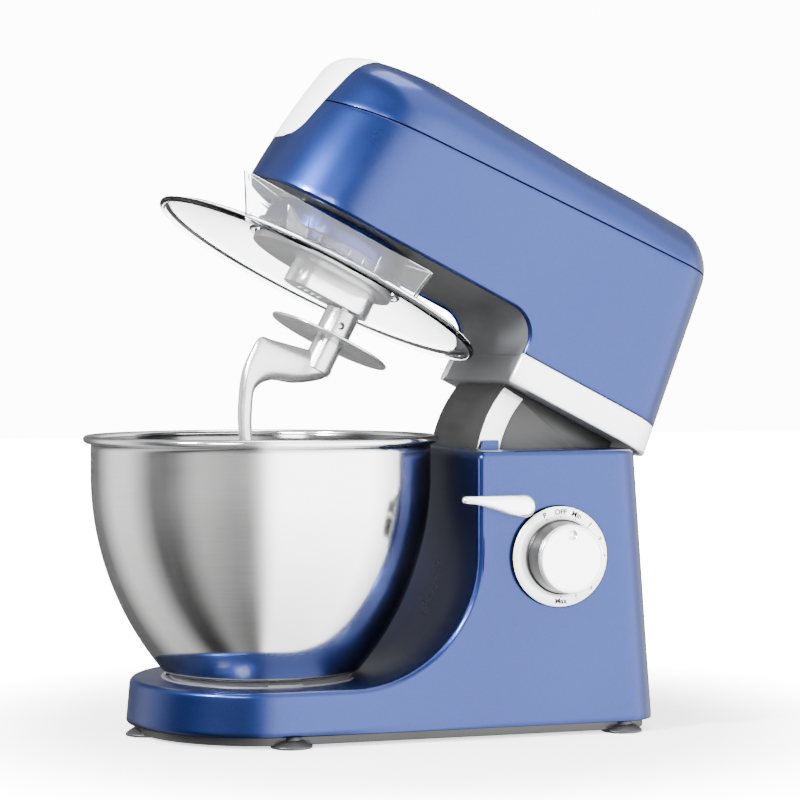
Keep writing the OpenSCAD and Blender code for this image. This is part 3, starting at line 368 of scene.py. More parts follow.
def latheMesh(profile, steps=128, axis="z", centre=(0, 0, 0)):
    # profile is a list of (radius, height); a closed loop of it makes a solid
    rows = []
    for r, h in profile:
        row = []
        for i in range(steps):
            a = 2 * math.pi * i / steps
            u, v = r * math.cos(a), r * math.sin(a)
            point = (u, v, h) if axis == "z" else (h, u, v)
            row.append(Vector(point) + Vector(centre))
        rows.append(row)
    return gridMesh(rows, closed=True)


def roundedLoop(points, radius, steps=4):
    # Rounds each corner of a closed (r, h) loop with an arc of at most that radius
    loop = []
    count = len(points)
    for i in range(count):
        before, here, after = (Vector(points[k % count]) for k in (i - 1, i, i + 1))
        back, ahead = before - here, after - here
        if back.length < 1e-6 or ahead.length < 1e-6:
            continue
        cut = min(radius, back.length * 0.45, ahead.length * 0.45)
        a, b = here + back.normalized() * cut, here + ahead.normalized() * cut
        for k in range(steps + 1):
            t = k / steps
            loop.append((1 - t) ** 2 * a + 2 * t * (1 - t) * here + t * t * b)
    return [tuple(p) for p in loop]


def latheSolid(name, points, radius, place, body, material, axis="z", centre=(0, 0, 0),
               steps=128, stands=()):
    loop = roundedLoop(points, radius)
    bm = latheMesh(loop + loop[:1], steps, axis, centre)
    return finishMesh(name, bm, place, body, material, stands)


def extrudeMesh(outline, low, high, axis="x"):
    # A closed outline of two values pushed along an axis
    def at(p, d):
        return Vector((d, p[0], p[1])) if axis == "x" else Vector((p[0], p[1], d))
    return gridMesh([[at(p, low) for p in outline], [at(p, high) for p in outline]],
                    closed=True, capEnds=True)


def arcPoints(cy, cz, r, start, stop, steps):
    return [(cy + r * math.cos(math.radians(lerp(start, stop, i / steps))),
             cz + r * math.sin(math.radians(lerp(start, stop, i / steps))))
            for i in range(steps + 1)]


def cutWith(piece, cutter):
    tool = piece.modifiers.new("cut", "BOOLEAN")
    tool.operation = "DIFFERENCE"
    tool.solver = "EXACT"
    tool.object = cutter
    applyModifiers(piece)
    bpy.data.objects.remove(cutter)


def applyModifiers(piece):
    bpy.context.view_layer.update()
    evaluated = piece.evaluated_get(bpy.context.evaluated_depsgraph_get())
    mesh = bpy.data.meshes.new_from_object(evaluated)
    piece.modifiers.clear()
    piece.data = mesh


def plainObject(name, bm, place):
    bmesh.ops.transform(bm, matrix=place, verts=bm.verts)
    bmesh.ops.recalc_face_normals(bm, faces=bm.faces)
    mesh = bpy.data.meshes.new(name)
    bm.to_mesh(mesh)
    bm.free()
    piece = bpy.data.objects.new(name, mesh)
    bpy.context.scene.collection.objects.link(piece)
    return piece


# The head's shells
head = {"half": 75.5, "rearRound": 25.0, "archY": 112.0, "archZ": 222.5, "archR": 22.0,
        "noseLift": 5.0, "rise": 6.2, "bandTop": 218.5, "bottom": 197.5, "gap": 0.25}


def headFront(z):
    return -72.6 + 0.06 * (z - 250) + 0.0009 * (z - 250) ** 2


def headBack(z):
    return 250.3 - 0.113 * (z - 197.5)


def headTop(x, y):
    rise = head["rise"] * max(0.0, 1 - max(0.0, y) / 125) ** 1.2
    return 350.8 + 0.0505 * y - 0.00011 * y * y - 2.0 * (x / 60) ** 2 + rise


def headColumns():
    # (kind, value, wall y, edge z, way into the wall, edge y) from the nose's tip along +X to the
    # rear's middle; the wall's columns fan out above the arch's steep end
    start = headFront(244.5) + head["half"]
    stop = headBack(218.5) - head["rearRound"]
    up, fan = (0.0, 1.0), 7.0
    columns = []

    def addSide(y, z, way, spread):
        wallY = y + spread
        columns.append(("side", (wallY - start) / (stop - start), wallY, z, way, y))

    for i in range(28):
        a = 90 * i / 28
        lift = head["noseLift"] * math.cos(math.radians(a)) ** 2
        columns.append(("nose", a, None, 244.5 + lift, up, None))
    for i in range(8):
        addSide(lerp(start, head["archY"], i / 8), 244.5, up, 0)
    for i in range(13):
        a = math.radians(90 * i / 12)
        addSide(head["archY"] + head["archR"] * math.sin(a),
                head["archZ"] + head["archR"] * math.cos(a), (math.sin(a), math.cos(a)),
                fan * (i / 12) ** 2)
    y = head["archY"] + head["archR"]
    addSide(y, 220.6, (1.0, 0.0), fan + 1.4)
    addSide(y, head["bandTop"], (1.0, 1.0), fan + 2.8)
    for i in range(9):
        addSide(lerp(y + 4.4, stop, i / 9), head["bandTop"], up, fan * (1 - i / 9))
    for i in range(11):
        columns.append(("corner", 90 * i / 10, None, head["bandTop"], up, None))
    for i in range(1, 9):
        columns.append(("rear", i / 8, None, head["bandTop"], up, None))
    return columns, start, stop


headCols, sideStart, sideStop = headColumns()


def headOutline(column, z, inset):
    kind, value, y = column[:3]
    half = head["half"]
    back = headBack(z)
    middle = headFront(z) + half
    turn = max(head["rearRound"], inset)
    if kind == "nose":
        a = math.radians(value)
        return (half - inset) * math.sin(a), middle - (half - inset) * math.cos(a)
    if kind == "side":
        shift = (middle - sideStart) * (1 - value) + (back - turn - sideStop) * value
        return half - inset, y + shift
    if kind == "corner":
        a = math.radians(value)
        r = turn - inset
        return half - turn + r * math.cos(a), back - turn + r * math.sin(a)
    return (half - turn) * (1 - value), back - inset


def shoulderRadius(column):
    if column[0] == "nose":
        return 30 - 15 * math.cos(math.radians(column[1])) ** 2
    return 30 + 4 * smoothStep((column[1] - 0.75) * 4 if column[0] == "side" else 1.0)


def crestHeight(column):
    x, y = headOutline(column, 350, shoulderRadius(column))
    return headTop(x, y)


def splitHeight(column):
    x, y = headOutline(column, 320, 0)
    return 312 + (y + 64) * 0.0554


def headSkin(column, z, deeper=0.0):
    r, crest = shoulderRadius(column), crestHeight(column)
    over = z - (crest - r)
    inset = 0 if over <= 0 else r - math.sqrt(max(r * r - over * over, 0))
    x, y = headOutline(column, z, inset + deeper)
    return Vector((x, y, z))


def edgePoint(column, along, inset):
    # A point near the head's lower edge: along goes into the wall, inset goes inwards
    z, way, y = column[3:]
    x, outlineY = headOutline(column, z, inset)
    if y is not None:
        outlineY = y + way[0] * along
    return Vector((x, outlineY, z + way[1] * along))


def bothSides(row):
    # Mirrors a half ring, nose tip to rear middle, into a whole one
    left = [Vector((-p.x, p.y, p.z)) for p in reversed(row[1:-1])]
    return row + left


def makeHeadHousing():
    rows = []
    for along, inset in ((4, 1.6), (0.5, 1.6), (0.12, 1.1), (0.12, 0.5), (0.5, 0.12), (1.2, 0)):
        rows.append([edgePoint(c, along, inset) for c in headCols])
    for share in (0.06, 0.2, 0.4, 0.6, 0.8, 0.97):
        rows.append([headSkin(c, lerp(c[3] + c[4][1] * 1.2, splitHeight(c) - 1, share))
                     for c in headCols])
    for drop, deeper in ((0.9, 0), (0.5, 0.1), (0.3, 0.5), (0.3, 2.2)):
        rows.append([headSkin(c, splitHeight(c) - drop, deeper) for c in headCols])
    bm = gridMesh([bothSides(r) for r in rows], closed=True)
    return finishMesh("headHousing", bm, onHead, "head", "blue", ["head_housing"])


def makeTopCover():
    rows = []
    for rise, deeper in ((0.3, 2.2), (0.3, 0.5), (0.5, 0.1), (0.9, 0)):
        rows.append([headSkin(c, splitHeight(c) + rise, deeper) for c in headCols])
    steps = 16
    for k in range(1, steps + 1):
        row = []
        for c in headCols:
            r, crest, low = shoulderRadius(c), crestHeight(c), splitHeight(c) + 0.9
            wall = max(0, crest - r - low)
            start = math.asin(max(0, min(1, (low - crest + r) / r)))
            run = wall + r * (math.pi / 2 - start)
            s = run * k / steps
            if s < wall:
                z = low + s
            else:
                z = crest - r + r * math.sin(start + (s - wall) / r)
            row.append(headSkin(c, min(z, crest)))
        rows.append(row)
    for k in range(1, 9):
        row = []
        for c in headCols:
            inset = lerp(shoulderRadius(c), head["half"], k / 8)
            x, y = headOutline(c, 350, inset)
            row.append(Vector((x, y, headTop(x, y))))
        rows.append(row)
    bm = gridMesh([bothSides(r) for r in rows], closed=True)
    return finishMesh("topCover", bm, onHead, "head", "blue", ["top_cover"], 0.02)


def makeRimLip():
    # Narrow rounded lip inside the head's lower edge, set off by a fine gap
    cols = [c for c in headCols if c[0] == "nose" or (c[0] == "side" and c[5] < 134.1)]
    rows = []
    for along, inset in ((3, 2.0), (0.6, 2.0), (0.0, 2.3), (-0.5, 3.0), (-0.7, 3.9), (-0.4, 4.9),
                         (0.4, 5.6), (1.4, 5.8), (4, 5.8)):
        half = [edgePoint(c, along, inset) for c in cols]
        left = [Vector((-p.x, p.y, p.z)) for p in reversed(half[1:])]
        rows.append(left + half)
    bm = gridMesh(rows)
    return finishMesh("rimLip", bm, onHead, "head", "blue", ())


def makeUnderside():
    # Grey panel over the arch, which runs down the front of the rear bay and back under it
    path = []
    for c in headCols:
        if c[0] == "nose" or (c[0] == "side" and c[5] < 134.1 and c[3] > 222):
            p = edgePoint(c, 1.3, 5.7)
            path.append((p.x, p.y, p.z))
    edgeX = path[-1][0]
    wallY = path[-1][1]
    for z in (221.0, 219.2, 218.8, 218.6):
        path.append((edgeX, wallY, z))
    for y, z in ((wallY + 0.7, 218.4), (wallY + 0.7, 218.0), (wallY - 0.2, 217.8),
                 (wallY - 0.2, 217.0), (wallY - 0.2, 200.2), (wallY + 0.1, 199.0),
                 (wallY + 1.0, 198.4), (wallY + 3, 198.2), (wallY + 60, 198.2),
                 (headBack(197.5) - 6, 198.2)):
        path.append((edgeX if z > 199.5 else head["half"] - 3.6, y, z))
    rows = [[Vector((x * s / 10, y, z)) for s in range(-10, 11)] for x, y, z in path]
    bm = gridMesh(rows)
    return finishMesh("undersidePanel", bm, onHead, "head", "grey", ["underside_cover"])


def makeTrimBand():
    cols = [c for c in headCols if c[0] != "nose" and not (c[0] == "side" and c[5] < 134.1)]
    front = 134.2
    rows = []
    low, high = head["bottom"], head["bandTop"]
    for z, inset in ((low + 4, 3.6), (low + 0.6, 3.6), (low, 3.0), (low, 1.2), (low + 0.3, 0.4),
                     (low + 1.1, -0.05), (low + 4, -0.1), (high - 4, -0.1), (high - 1.0, -0.05),
                     (high - 0.45, 0.3), (high - 0.3, 1.0), (high - 0.3, 3)):
        side = [Vector((*headOutline(c, z, inset), z)) for c in cols]
        x = side[0].x
        returned = [Vector((x - 4.2 + inset, front + 2.0, z)),
                    Vector((x - 4.2 + inset, front - 1.4 + inset * 0.4, z)),
                    Vector((x - 1.6 + inset * 0.4, front - 1.6 + inset * 0.4, z)),
                    Vector((x - 0.5, front - 1.3 + inset * 0.4, z)),
                    Vector((x, front - 0.4 + inset * 0.2, z))]
        half = returned + side[1:]
        left = [Vector((-p.x, p.y, p.z)) for p in reversed(half[:-1])]
        rows.append(half + left)
    bm = gridMesh(rows)
    return finishMesh("trimBand", bm, onHead, "head", "silver", ["trim_band"])


cap = {"low": 281.0, "topHalf": 40.0, "lowHalf": 28.0, "round": 14.0, "topRound": 8.0,
       "over": 1.0, "proud": 0.45}


def makeFrontCap():
    # Silver plate let into the nose; it runs over the top edge
    widthSteps, riseSteps = 24, 30
    tip = ("nose", 0.0, None, 0, (0, 1))
    r, crest = shoulderRadius(tip), crestHeight(tip)
    wall = crest - r - cap["low"]
    arc = r * math.pi / 2
    total = wall + arc + cap["over"]
    for name, grow, proud, material in (("frontCap", 0.0, cap["proud"], "pearl"),
                                        ("capSeam", 0.6, 0.06, "black")):
        rows = []
        for k in range(riseSteps + 1):
            s = lerp(-grow, total + grow, k / riseSteps)
            up = max(0, s)
            half = lerp(cap["lowHalf"], cap["topHalf"], min(1, up / (wall + arc * 0.45)))
            corner = cap["round"] - up
            if corner > 0:
                half -= cap["round"] - math.sqrt(max(0, cap["round"] ** 2 - corner ** 2))
            topCorner = cap["topRound"] - (total - min(s, total))
            if topCorner > 0:
                half -= cap["topRound"] - math.sqrt(max(0, cap["topRound"] ** 2 - topCorner ** 2))
            half += grow
            row = []
            for i in range(widthSteps + 1):
                across = lerp(-1, 1, i / widthSteps)
                x = half * across
                a = math.degrees(math.asin(min(1, abs(x) / head["half"])))
                column = ("nose", a, None, 0, (0, 1))
                rr, cc = shoulderRadius(column), crestHeight(column)
                share = s
                wallHere = cc - rr - cap["low"]
                arcHere = rr * math.pi / 2
                if share <= wallHere:
                    p = headSkin(column, cap["low"] + share)
                    out = Vector((math.sin(math.radians(a)), -math.cos(math.radians(a)), 0))
                elif share <= wallHere + arcHere:
                    turn = (share - wallHere) / rr
                    p = headSkin(column, cc - rr + rr * math.sin(turn))
                    out = Vector((math.sin(math.radians(a)) * math.cos(turn),
                                  -math.cos(math.radians(a)) * math.cos(turn), math.sin(turn)))
                else:
                    more = share - wallHere - arcHere
                    hx, hy = headOutline(column, 350, rr + more)
                    p = Vector((hx, hy, headTop(hx, hy)))
                    out = Vector((0, 0, 1))
                edge = min(1 - abs(across), min(k, riseSteps - k) / riseSteps * 2)
                lift = proud * min(1, edge * 14)
                p = p + out * lift
                row.append(Vector((p.x if x >= 0 else -p.x, p.y, p.z)))
            rows.append(row)
        stands = ["front_cap"] if name == "frontCap" else ()
        finishMesh(name, gridMesh(rows), onHead, "head", material, stands)


makeHeadHousing()
makeTopCover()
makeRimLip()
makeUnderside()
makeTrimBand()
makeFrontCap()
print("stage: head made")

# The base
base = {"half": 91.5, "low": 8.0, "platform": 37.0, "scoopY": 39.3, "scoopZ": 123.0,
        "scoopR": 86.0, "columnFront": 125.3, "columnTop": 191.0, "round": 25.0, "edge": 3.6,
        "draft": 2.6, "columnRear": 257.0, "lean": 13.3, "skin": 2.4, "dip": 1.9,
        "topRound": 5.5}
well = {"half": 50.5, "front": 134.7, "rear": 236.7, "low": 184.0}  # opening the neck swings in


def baseBack(z):
    share = (z - base["low"]) / (base["columnTop"] - base["low"])
    return base["columnRear"] - share * base["lean"]


def baseOutline(column, z, inset):
    kind, value = column[0], column[1]
    half = base["half"]
    back = baseBack(z)
    turn = base["round"]
    if kind == "nose":
        a = math.radians(value)
        lean = base["draft"] * (z - base["low"]) / (base["platform"] - base["low"])
        r = half - inset - lean * math.cos(a) ** 2
        return r * math.sin(a), -r * math.cos(a)
    if kind == "side":
        return half - inset, lerp(column[5], column[2], min(1, max(0, (z - base["low"]) / 60)))
    if kind == "corner":
        a = math.radians(value)
        r = turn - inset
        return half - turn + r * math.cos(a), back - turn + r * math.sin(a)
    return (half - turn) * (1 - value), back - inset


def baseColumns():
    # Edge points run over the platform, up the scoop and along the column's top
    cols = []
    for i in range(30):
        cols.append(("nose", 90 * i / 30, 0.0, base["platform"], (0, -1), 0.0))
    edge = [(y, base["platform"], (0, -1)) for y in (0.0, 10.0, 20.0, 30.0)]
    for i in range(17):
        a = math.radians(270 + 90 * i / 16)
        edge.append((base["scoopY"] + base["scoopR"] * math.cos(a),
                     base["scoopZ"] + base["scoopR"] * math.sin(a), (math.cos(a), math.sin(a))))
    for z in (135.0, 150.0, 165.0, 177.0, 184.0):
        edge.append((base["columnFront"], z, (1, 0)))
    r = base["topRound"]
    for i in range(5):
        a = math.radians(180 - 22.5 * i)
        way = (-math.cos(a), -math.sin(a))
        edge.append((base["columnFront"] + r + r * math.cos(a),
                     base["columnTop"] - r + r * math.sin(a), way))
    stop = baseBack(base["columnTop"]) - base["round"]
    for i in range(1, 9):
        edge.append((lerp(base["columnFront"] + 3, stop, i / 9), base["columnTop"], (0, -1)))
    count = len(edge)
    for i, (y, z, way) in enumerate(edge):
        foot = lerp(0, baseBack(base["low"]) - base["round"], i / count)
        cols.append(("side", 0, y, z, way, foot))
    for i in range(11):
        cols.append(("corner", 90 * i / 10, 0, base["columnTop"], (0, -1), 0))
    for i in range(1, 9):
        cols.append(("rear", i / 8, 0, base["columnTop"], (0, -1), 0))
    return cols


def makeBaseHousing():
    cols = baseColumns()
    edge = base["edge"]

    def wallPoint(c, share):
        low, high = base["low"], c[3] + c[4][1] * edge
        z = lerp(low, high, share)
        if c[0] == "side":
            foot, top = Vector((base["half"], c[5], low)), Vector(
                (base["half"], c[2] + c[4][0] * edge, high))
            return foot.lerp(top, share)
        x, y = baseOutline(c, z, 0)
        return Vector((x, y, z))

    def edgeRound(c, turn):
        along, inset = edge * (1 - math.sin(turn)), edge * (1 - math.cos(turn))
        z = c[3] + c[4][1] * along
        if c[0] == "side":
            return Vector((base["half"] - inset, c[2] + c[4][0] * along, z))
        x, y = baseOutline(c, z, inset)
        return Vector((x, y, z))

    def under(c, inset, z):
        if c[0] == "side":
            return Vector((base["half"] - inset, c[5], z))
        x, y = baseOutline(c, z, inset)
        return Vector((x, y, z))

    rows = [[under(c, base["skin"], base["platform"] - 6 if c[0] == "nose" else 28) for c in cols],
            [under(c, base["skin"], base["low"] + 0.3) for c in cols],
            [under(c, base["skin"] - 0.4, base["low"]) for c in cols],
            [under(c, 0.5, base["low"]) for c in cols],
            [under(c, 0.1, base["low"] + 0.5) for c in cols]]
    for share in (0.02, 0.15, 0.3, 0.45, 0.6, 0.75, 0.9, 1.0):
        rows.append([wallPoint(c, share) for c in cols])
    for k in range(1, 7):
        rows.append([edgeRound(c, math.pi / 2 * k / 6) for c in cols])
    bm = gridMesh([bothSides(r) for r in rows], closed=True)
    # The top: rungs from one side's rounded edge to the other's
    inner = rows[-1]
    rungs = []
    for c, p in zip(cols, inner):
        if c[0] in ("nose", "side"):
            middle = []
            for s in range(-12, 13):
                t = s / 12
                q = Vector((p.x * t, p.y, p.z))
                if c[0] == "side" and c[4][0] != 0 and c[3] < base["scoopZ"] and c[2] > 40:
                    dip = base["dip"] * (1 - smoothStep(abs(q.x) / 70))
                    rise = smoothStep((base["scoopZ"] - c[3]) / 30)
                    q.y += dip * rise * c[4][0]
                    q.z += dip * rise * c[4][1]
                middle.append(q)
            rungs.append(middle)
    stop = baseBack(base["columnTop"])
    corner = [p for c, p in zip(cols, inner) if c[0] in ("corner", "rear")]
    for p in corner[:11]:
        rungs.append([Vector((p.x * s / 12, p.y, p.z)) for s in range(-12, 13)])
    top = [r for r in rungs if abs(r[0].z - base["columnTop"]) < 0.01]
    for row in top:
        for i, p in enumerate(row):
            t = (i - 12) / 12
            edgeX = abs(row[0].x)
            if abs(t) <= 0.75:
                p.x = t / 0.75 * well["half"]
            else:
                p.x = math.copysign(lerp(well["half"], edgeX, (abs(t) - 0.75) / 0.25), t)
    for target in (well["front"], well["rear"]):
        row = min(top, key=lambda r: abs(r[12].y - target))
        for p in row[3:22]:
            p.y = target
    made = [[bm.verts.new(p) for p in row] for row in rungs]
    for a, b in zip(made, made[1:]):
        for i in range(24):
            inside = 3 <= i <= 20 and all(
                v.co.z > 190.9 and well["front"] - 0.01 <= v.co.y <= well["rear"] + 0.01
                for v in (a[i], a[i + 1], b[i], b[i + 1]))
            if not inside:
                bm.faces.new((a[i], a[i + 1], b[i + 1], b[i]))
    h, f, r = well["half"], well["front"], well["rear"]
    top, low = base["columnTop"], well["low"]
    corners = [(-h, f), (h, f), (h, r), (-h, r)]
    for (ax, ay), (bx, by) in zip(corners, corners[1:] + corners[:1]):
        bm.faces.new([bm.verts.new(q) for q in ((ax, ay, top), (bx, by, top), (bx, by, low),
                                                (ax, ay, low))])
    finishMesh("baseHousing", bm, onBase, "base", "blue", ["base_housing"], 0.02)


makeBaseHousing()
print("stage: base made")

# The bowl, and a dark sheet under the base that paints the shade on the floor there
bowl = {"arcR": 206.4, "arcZ": 174.6, "wallR": 115.5, "baseZ": 40.0, "rimZ": 198.0, "bead": 2.8}


def bowlRadius(z):
    if z >= bowl["arcZ"]:
        return bowl["wallR"]
    return bowl["wallR"] - bowl["arcR"] + math.sqrt(bowl["arcR"] ** 2 - (bowl["arcZ"] - z) ** 2)


def makeBowl():
    low, rim, b = bowl["baseZ"], bowl["rimZ"], bowl["bead"]
    heights = [low + 2.2 + (rim - 4 - low) * (i / 40) ** 1.3 for i in range(41)]
    foot = bowlRadius(low + 2.2)
    outer = [(0.02, low), (foot - 9, low), (foot - 5, low + 0.2), (foot - 2.6, low + 0.9)]
    outer += [(bowlRadius(z), z) for z in heights if z < rim - 3]
    centre = bowl["wallR"] + b - 0.5
    bead = [(centre + b * math.cos(math.radians(a)), rim + b * math.sin(math.radians(a)))
            for a in range(-150, 181, 15)]
    finishMesh("bowlOutside", latheMesh(outer + bead, 192), onBase, "bowl", "steel", ["bowl"])
    # The inside wall takes the darker copy of the steel: painted shade and reflection for the
    # bowl's dark inside
    inner = [(bowl["wallR"] - 0.5, rim), (bowl["wallR"] - 1.1, rim - 1.2)]
    inner += [(bowlRadius(z) - 1.0, z) for z in reversed(heights) if z < rim - 3]
    inner += [(foot - 6, low + 1.6), (foot - 10, low + 1.0), (0.02, low + 1.0)]
    finishMesh("bowlInside", latheMesh(inner, 192), onBase, "bowl", "inside", ())


def makeShadeSkirt():
    # Painted shade: a dark sheet under the housing, standing in from its edge and reaching down
    # near the floor, for the shaded floor beneath the base
    cols = baseColumns()
    rows = []
    for z, inset in ((9.5, 6.0), (2.6, 6.0), (1.9, 6.8), (1.9, 14.0)):
        row = []
        for c in cols:
            if c[0] == "side":
                row.append(Vector((base["half"] - inset, c[5], z)))
            else:
                x, y = baseOutline(c, base["low"], inset)
                row.append(Vector((x, y, z)))
        rows.append(bothSides(row))
    finishMesh("baseShadeSheet", gridMesh(rows, closed=True), onBase, "base", "black", ())


makeBowl()
makeShadeSkirt()
print("stage: bowl made")

# The splash guard
guard = {"rimR": 119.1, "rimZ": 207.0, "bead": 2.0, "inR": 54.7, "topZ": 220.0, "thick": 1.7,
         "ringLow": 219.4, "ringHigh": 229.5, "chuteTop": 234.3, "ribs": 30}
# Chute's path in plan: foot (x, y) on the cone, then top (x, y)
chutePath = [((46.0, -30.0), (46.0, -34.0)), ((52.0, -46.0), (52.0, -52.0)),
             ((82.5, -80.0), (86.5, -95.0)), ((84.0, -77.0), (88.6, -91.2)),
             ((84.0, -30.0), (88.4, -36.0)), ((84.0, 10.0), (88.0, 9.0)),
             ((84.0, 45.0), (87.6, 47.0)), ((82.2, 47.4), (85.6, 49.6)),
             ((60.0, 32.0), (60.0, 33.0)), ((46.0, 22.0), (46.0, 22.6))]


def coneHeight(r):
    outer, inner = guard["rimR"] - 8.0, guard["inR"]
    if r >= outer:
        return guard["rimZ"] + 5 - (r - outer) * 0.62
    return guard["rimZ"] + 5 + (outer - r) / (outer - inner) * 9.8


def makeGuard():
    r, z, t = guard["rimR"], guard["rimZ"], guard["thick"]
    upper = [(guard["inR"] + (r - 3.0 - guard["inR"]) * i / 14,) for i in range(15)]
    upper = [(u[0], coneHeight(u[0])) for u in upper]
    bead = [(r - 2.0 + 2.2 * math.cos(math.radians(a)), z + 0.2 + 2.0 * math.sin(math.radians(a)))
            for a in range(60, -181, -20)]
    under = [(u - 0.4, h - t) for u, h in reversed(upper[:-1])]
    profile = upper + bead + under
    cone = finishMesh("splashGuard", latheMesh(profile + profile[:1], 192), onHead, "guard",
                      "clear", ["splash_guard"])
    plan = [(44.0, -26.0), (52.5, -44.0), (82.0, -78.0), (82.6, 44.0), (60.0, 30.4), (44.0, 19.0)]
    cutWith(cone, plainObject("chuteGap", extrudeMesh(plan, 195.0, 240.0, "z"), onHead))
    cone.data.polygons.foreach_set("use_smooth", [True] * len(cone.data.polygons))
    addBevel(cone, 0.25, 2, 40)
    rows = []
    middle = Vector((62.0, -10.0, 0.0))
    for (fx, fy), (tx, ty) in chutePath:
        low = Vector((fx, fy, coneHeight(math.hypot(fx, fy)) - 0.8))
        high = Vector((tx, ty, guard["chuteTop"]))
        inward = (middle - Vector((fx, fy, 0))).normalized() * 1.5
        inwardTop = (middle - Vector((tx, ty, 0))).normalized() * 1.1
        rows.append([low, low.lerp(high, 0.5), high - Vector((0, 0, 0.3)), high,
                     high + inwardTop, high + inwardTop - Vector((0, 0, 0.3)),
                     low.lerp(high, 0.5) + inward, low + inward])
    walls = finishMesh("guardChute", gridMesh(rows, closed=True, capEnds=True), onHead, "guard",
                       "clear", ())
    walls.data.polygons.foreach_set("use_smooth", [False] * len(walls.data.polygons))
    addBevel(walls, 0.2, 2, 30)
    low, high, inner = guard["ringLow"], guard["ringHigh"], 50.9
    ring = [(inner, high), (inner + 2.4, high), (inner + 2.6, low + 3.2), (inner + 5.4, low + 3.0),
            (inner + 5.4, low + 1.8), (inner + 6.4, low + 1.6), (inner + 6.4, low), (53.3, low),
            (53.3, high - 3.0), (inner, high - 3.0)]
    loop = roundedLoop(ring, 0.35, 2)
    finishMesh("guardRing", latheMesh(loop + loop[:1], 160), onHead, "guard", "clear", ())
    ribs = bmesh.new()
    for i in range(guard["ribs"]):
        turn = Matrix.Rotation(2 * math.pi * i / guard["ribs"], 4, "Z")
        outline = [(53.2, low + 3.1), (56.0, low + 3.1), (54.2, high - 1.0), (53.2, high - 1.0)]
        part = bmesh.new()
        bands = [[part.verts.new(turn @ Vector((a, w, b))) for a, b in outline]
                 for w in (-0.5, 0.5)]
        for k in range(4):
            n = (k + 1) % 4
            part.faces.new((bands[0][k], bands[0][n], bands[1][n], bands[1][k]))
        part.faces.new(bands[0])
        part.faces.new(list(reversed(bands[1])))
        mesh = bpy.data.meshes.new("rib")
        part.to_mesh(mesh)
        part.free()
        ribs.from_mesh(mesh)
    piece = finishMesh("guardRibs", ribs, onHead, "guard", "clear", ())
    piece.data.polygons.foreach_set("use_smooth", [False] * len(piece.data.polygons))


makeGuard()
print("stage: splash guard made")

# The dough hook
# Each station: top or outer edge (y, z), lower or inner edge (y, z), middle x, half thickness
hookStations = [
    ((37.0, 157.0), (37.2, 152.0), 0.0, 4.0),
    ((33.5, 163.0), (33.0, 147.0), 0.0, 8.0),
    ((26.0, 164.5), (25.5, 141.4), 0.0, 9.2),
    ((15.0, 161.6), (16.5, 136.2), 0.0, 7.0),
    ((4.0, 159.2), (8.5, 133.6), 0.0, 5.4),
    ((-8.0, 156.6), (2.2, 131.2), 0.0, 4.4),
    ((-17.6, 154.2), (-1.8, 127.4), 0.0, 4.0),
    ((-19.2, 143.0), (-4.2, 123.0), 0.0, 4.4),
    ((-18.6, 130.0), (-4.6, 118.6), 0.0, 5.0),
    ((-15.8, 119.5), (-3.0, 113.6), 0.0, 5.2),
    ((-12.8, 112.0), (-0.9, 108.6), 0.0, 5.3),
    ((-7.4, 99.5), (3.8, 98.2), 0.6, 5.3),
    ((1.0, 85.0), (10.4, 86.6), 2.0, 5.2),
    ((11.5, 71.5), (18.2, 78.0), 3.6, 5.0),
    ((24.0, 61.8), (27.4, 70.2), 3.0, 4.9),
    ((37.0, 58.6), (36.0, 67.2), -1.0, 4.6),
    ((47.5, 63.0), (42.5, 69.4), -6.0, 4.2),
    ((52.0, 73.0), (46.6, 75.0), -11.0, 3.4),
    ((52.0, 80.0), (48.6, 80.6), -13.6, 1.8),
]


def smoothRun(points, steps):
    # Smooth run through a row of equal tuples of numbers
    out = []
    last = len(points) - 1
    for i in range(last):
        p0, p1, p2, p3 = (points[max(0, min(last, k))] for k in (i - 1, i, i + 1, i + 2))
        for k in range(steps):
            t = k / steps
            out.append(tuple(0.5 * (2 * b + (c - a) * t + (2 * a - 5 * b + 4 * c - d) * t * t
                                    + (3 * b - a - 3 * c + d) * t ** 3)
                             for a, b, c, d in zip(p0, p1, p2, p3)))
    out.append(points[-1])
    return out


def squareRound(turn, power):
    c, s = math.cos(turn), math.sin(turn)
    return (math.copysign(abs(c) ** power, c), math.copysign(abs(s) ** power, s))


hub = {"r": 12.0, "neckR": 10.4, "bore": 6.2, "top": 196.2, "step": 175.2, "low": 151.0,
       "pinZ": 185.3, "pinR": 2.7, "shieldR": 43.4, "shieldLow": 172.9, "shieldHigh": 174.9}


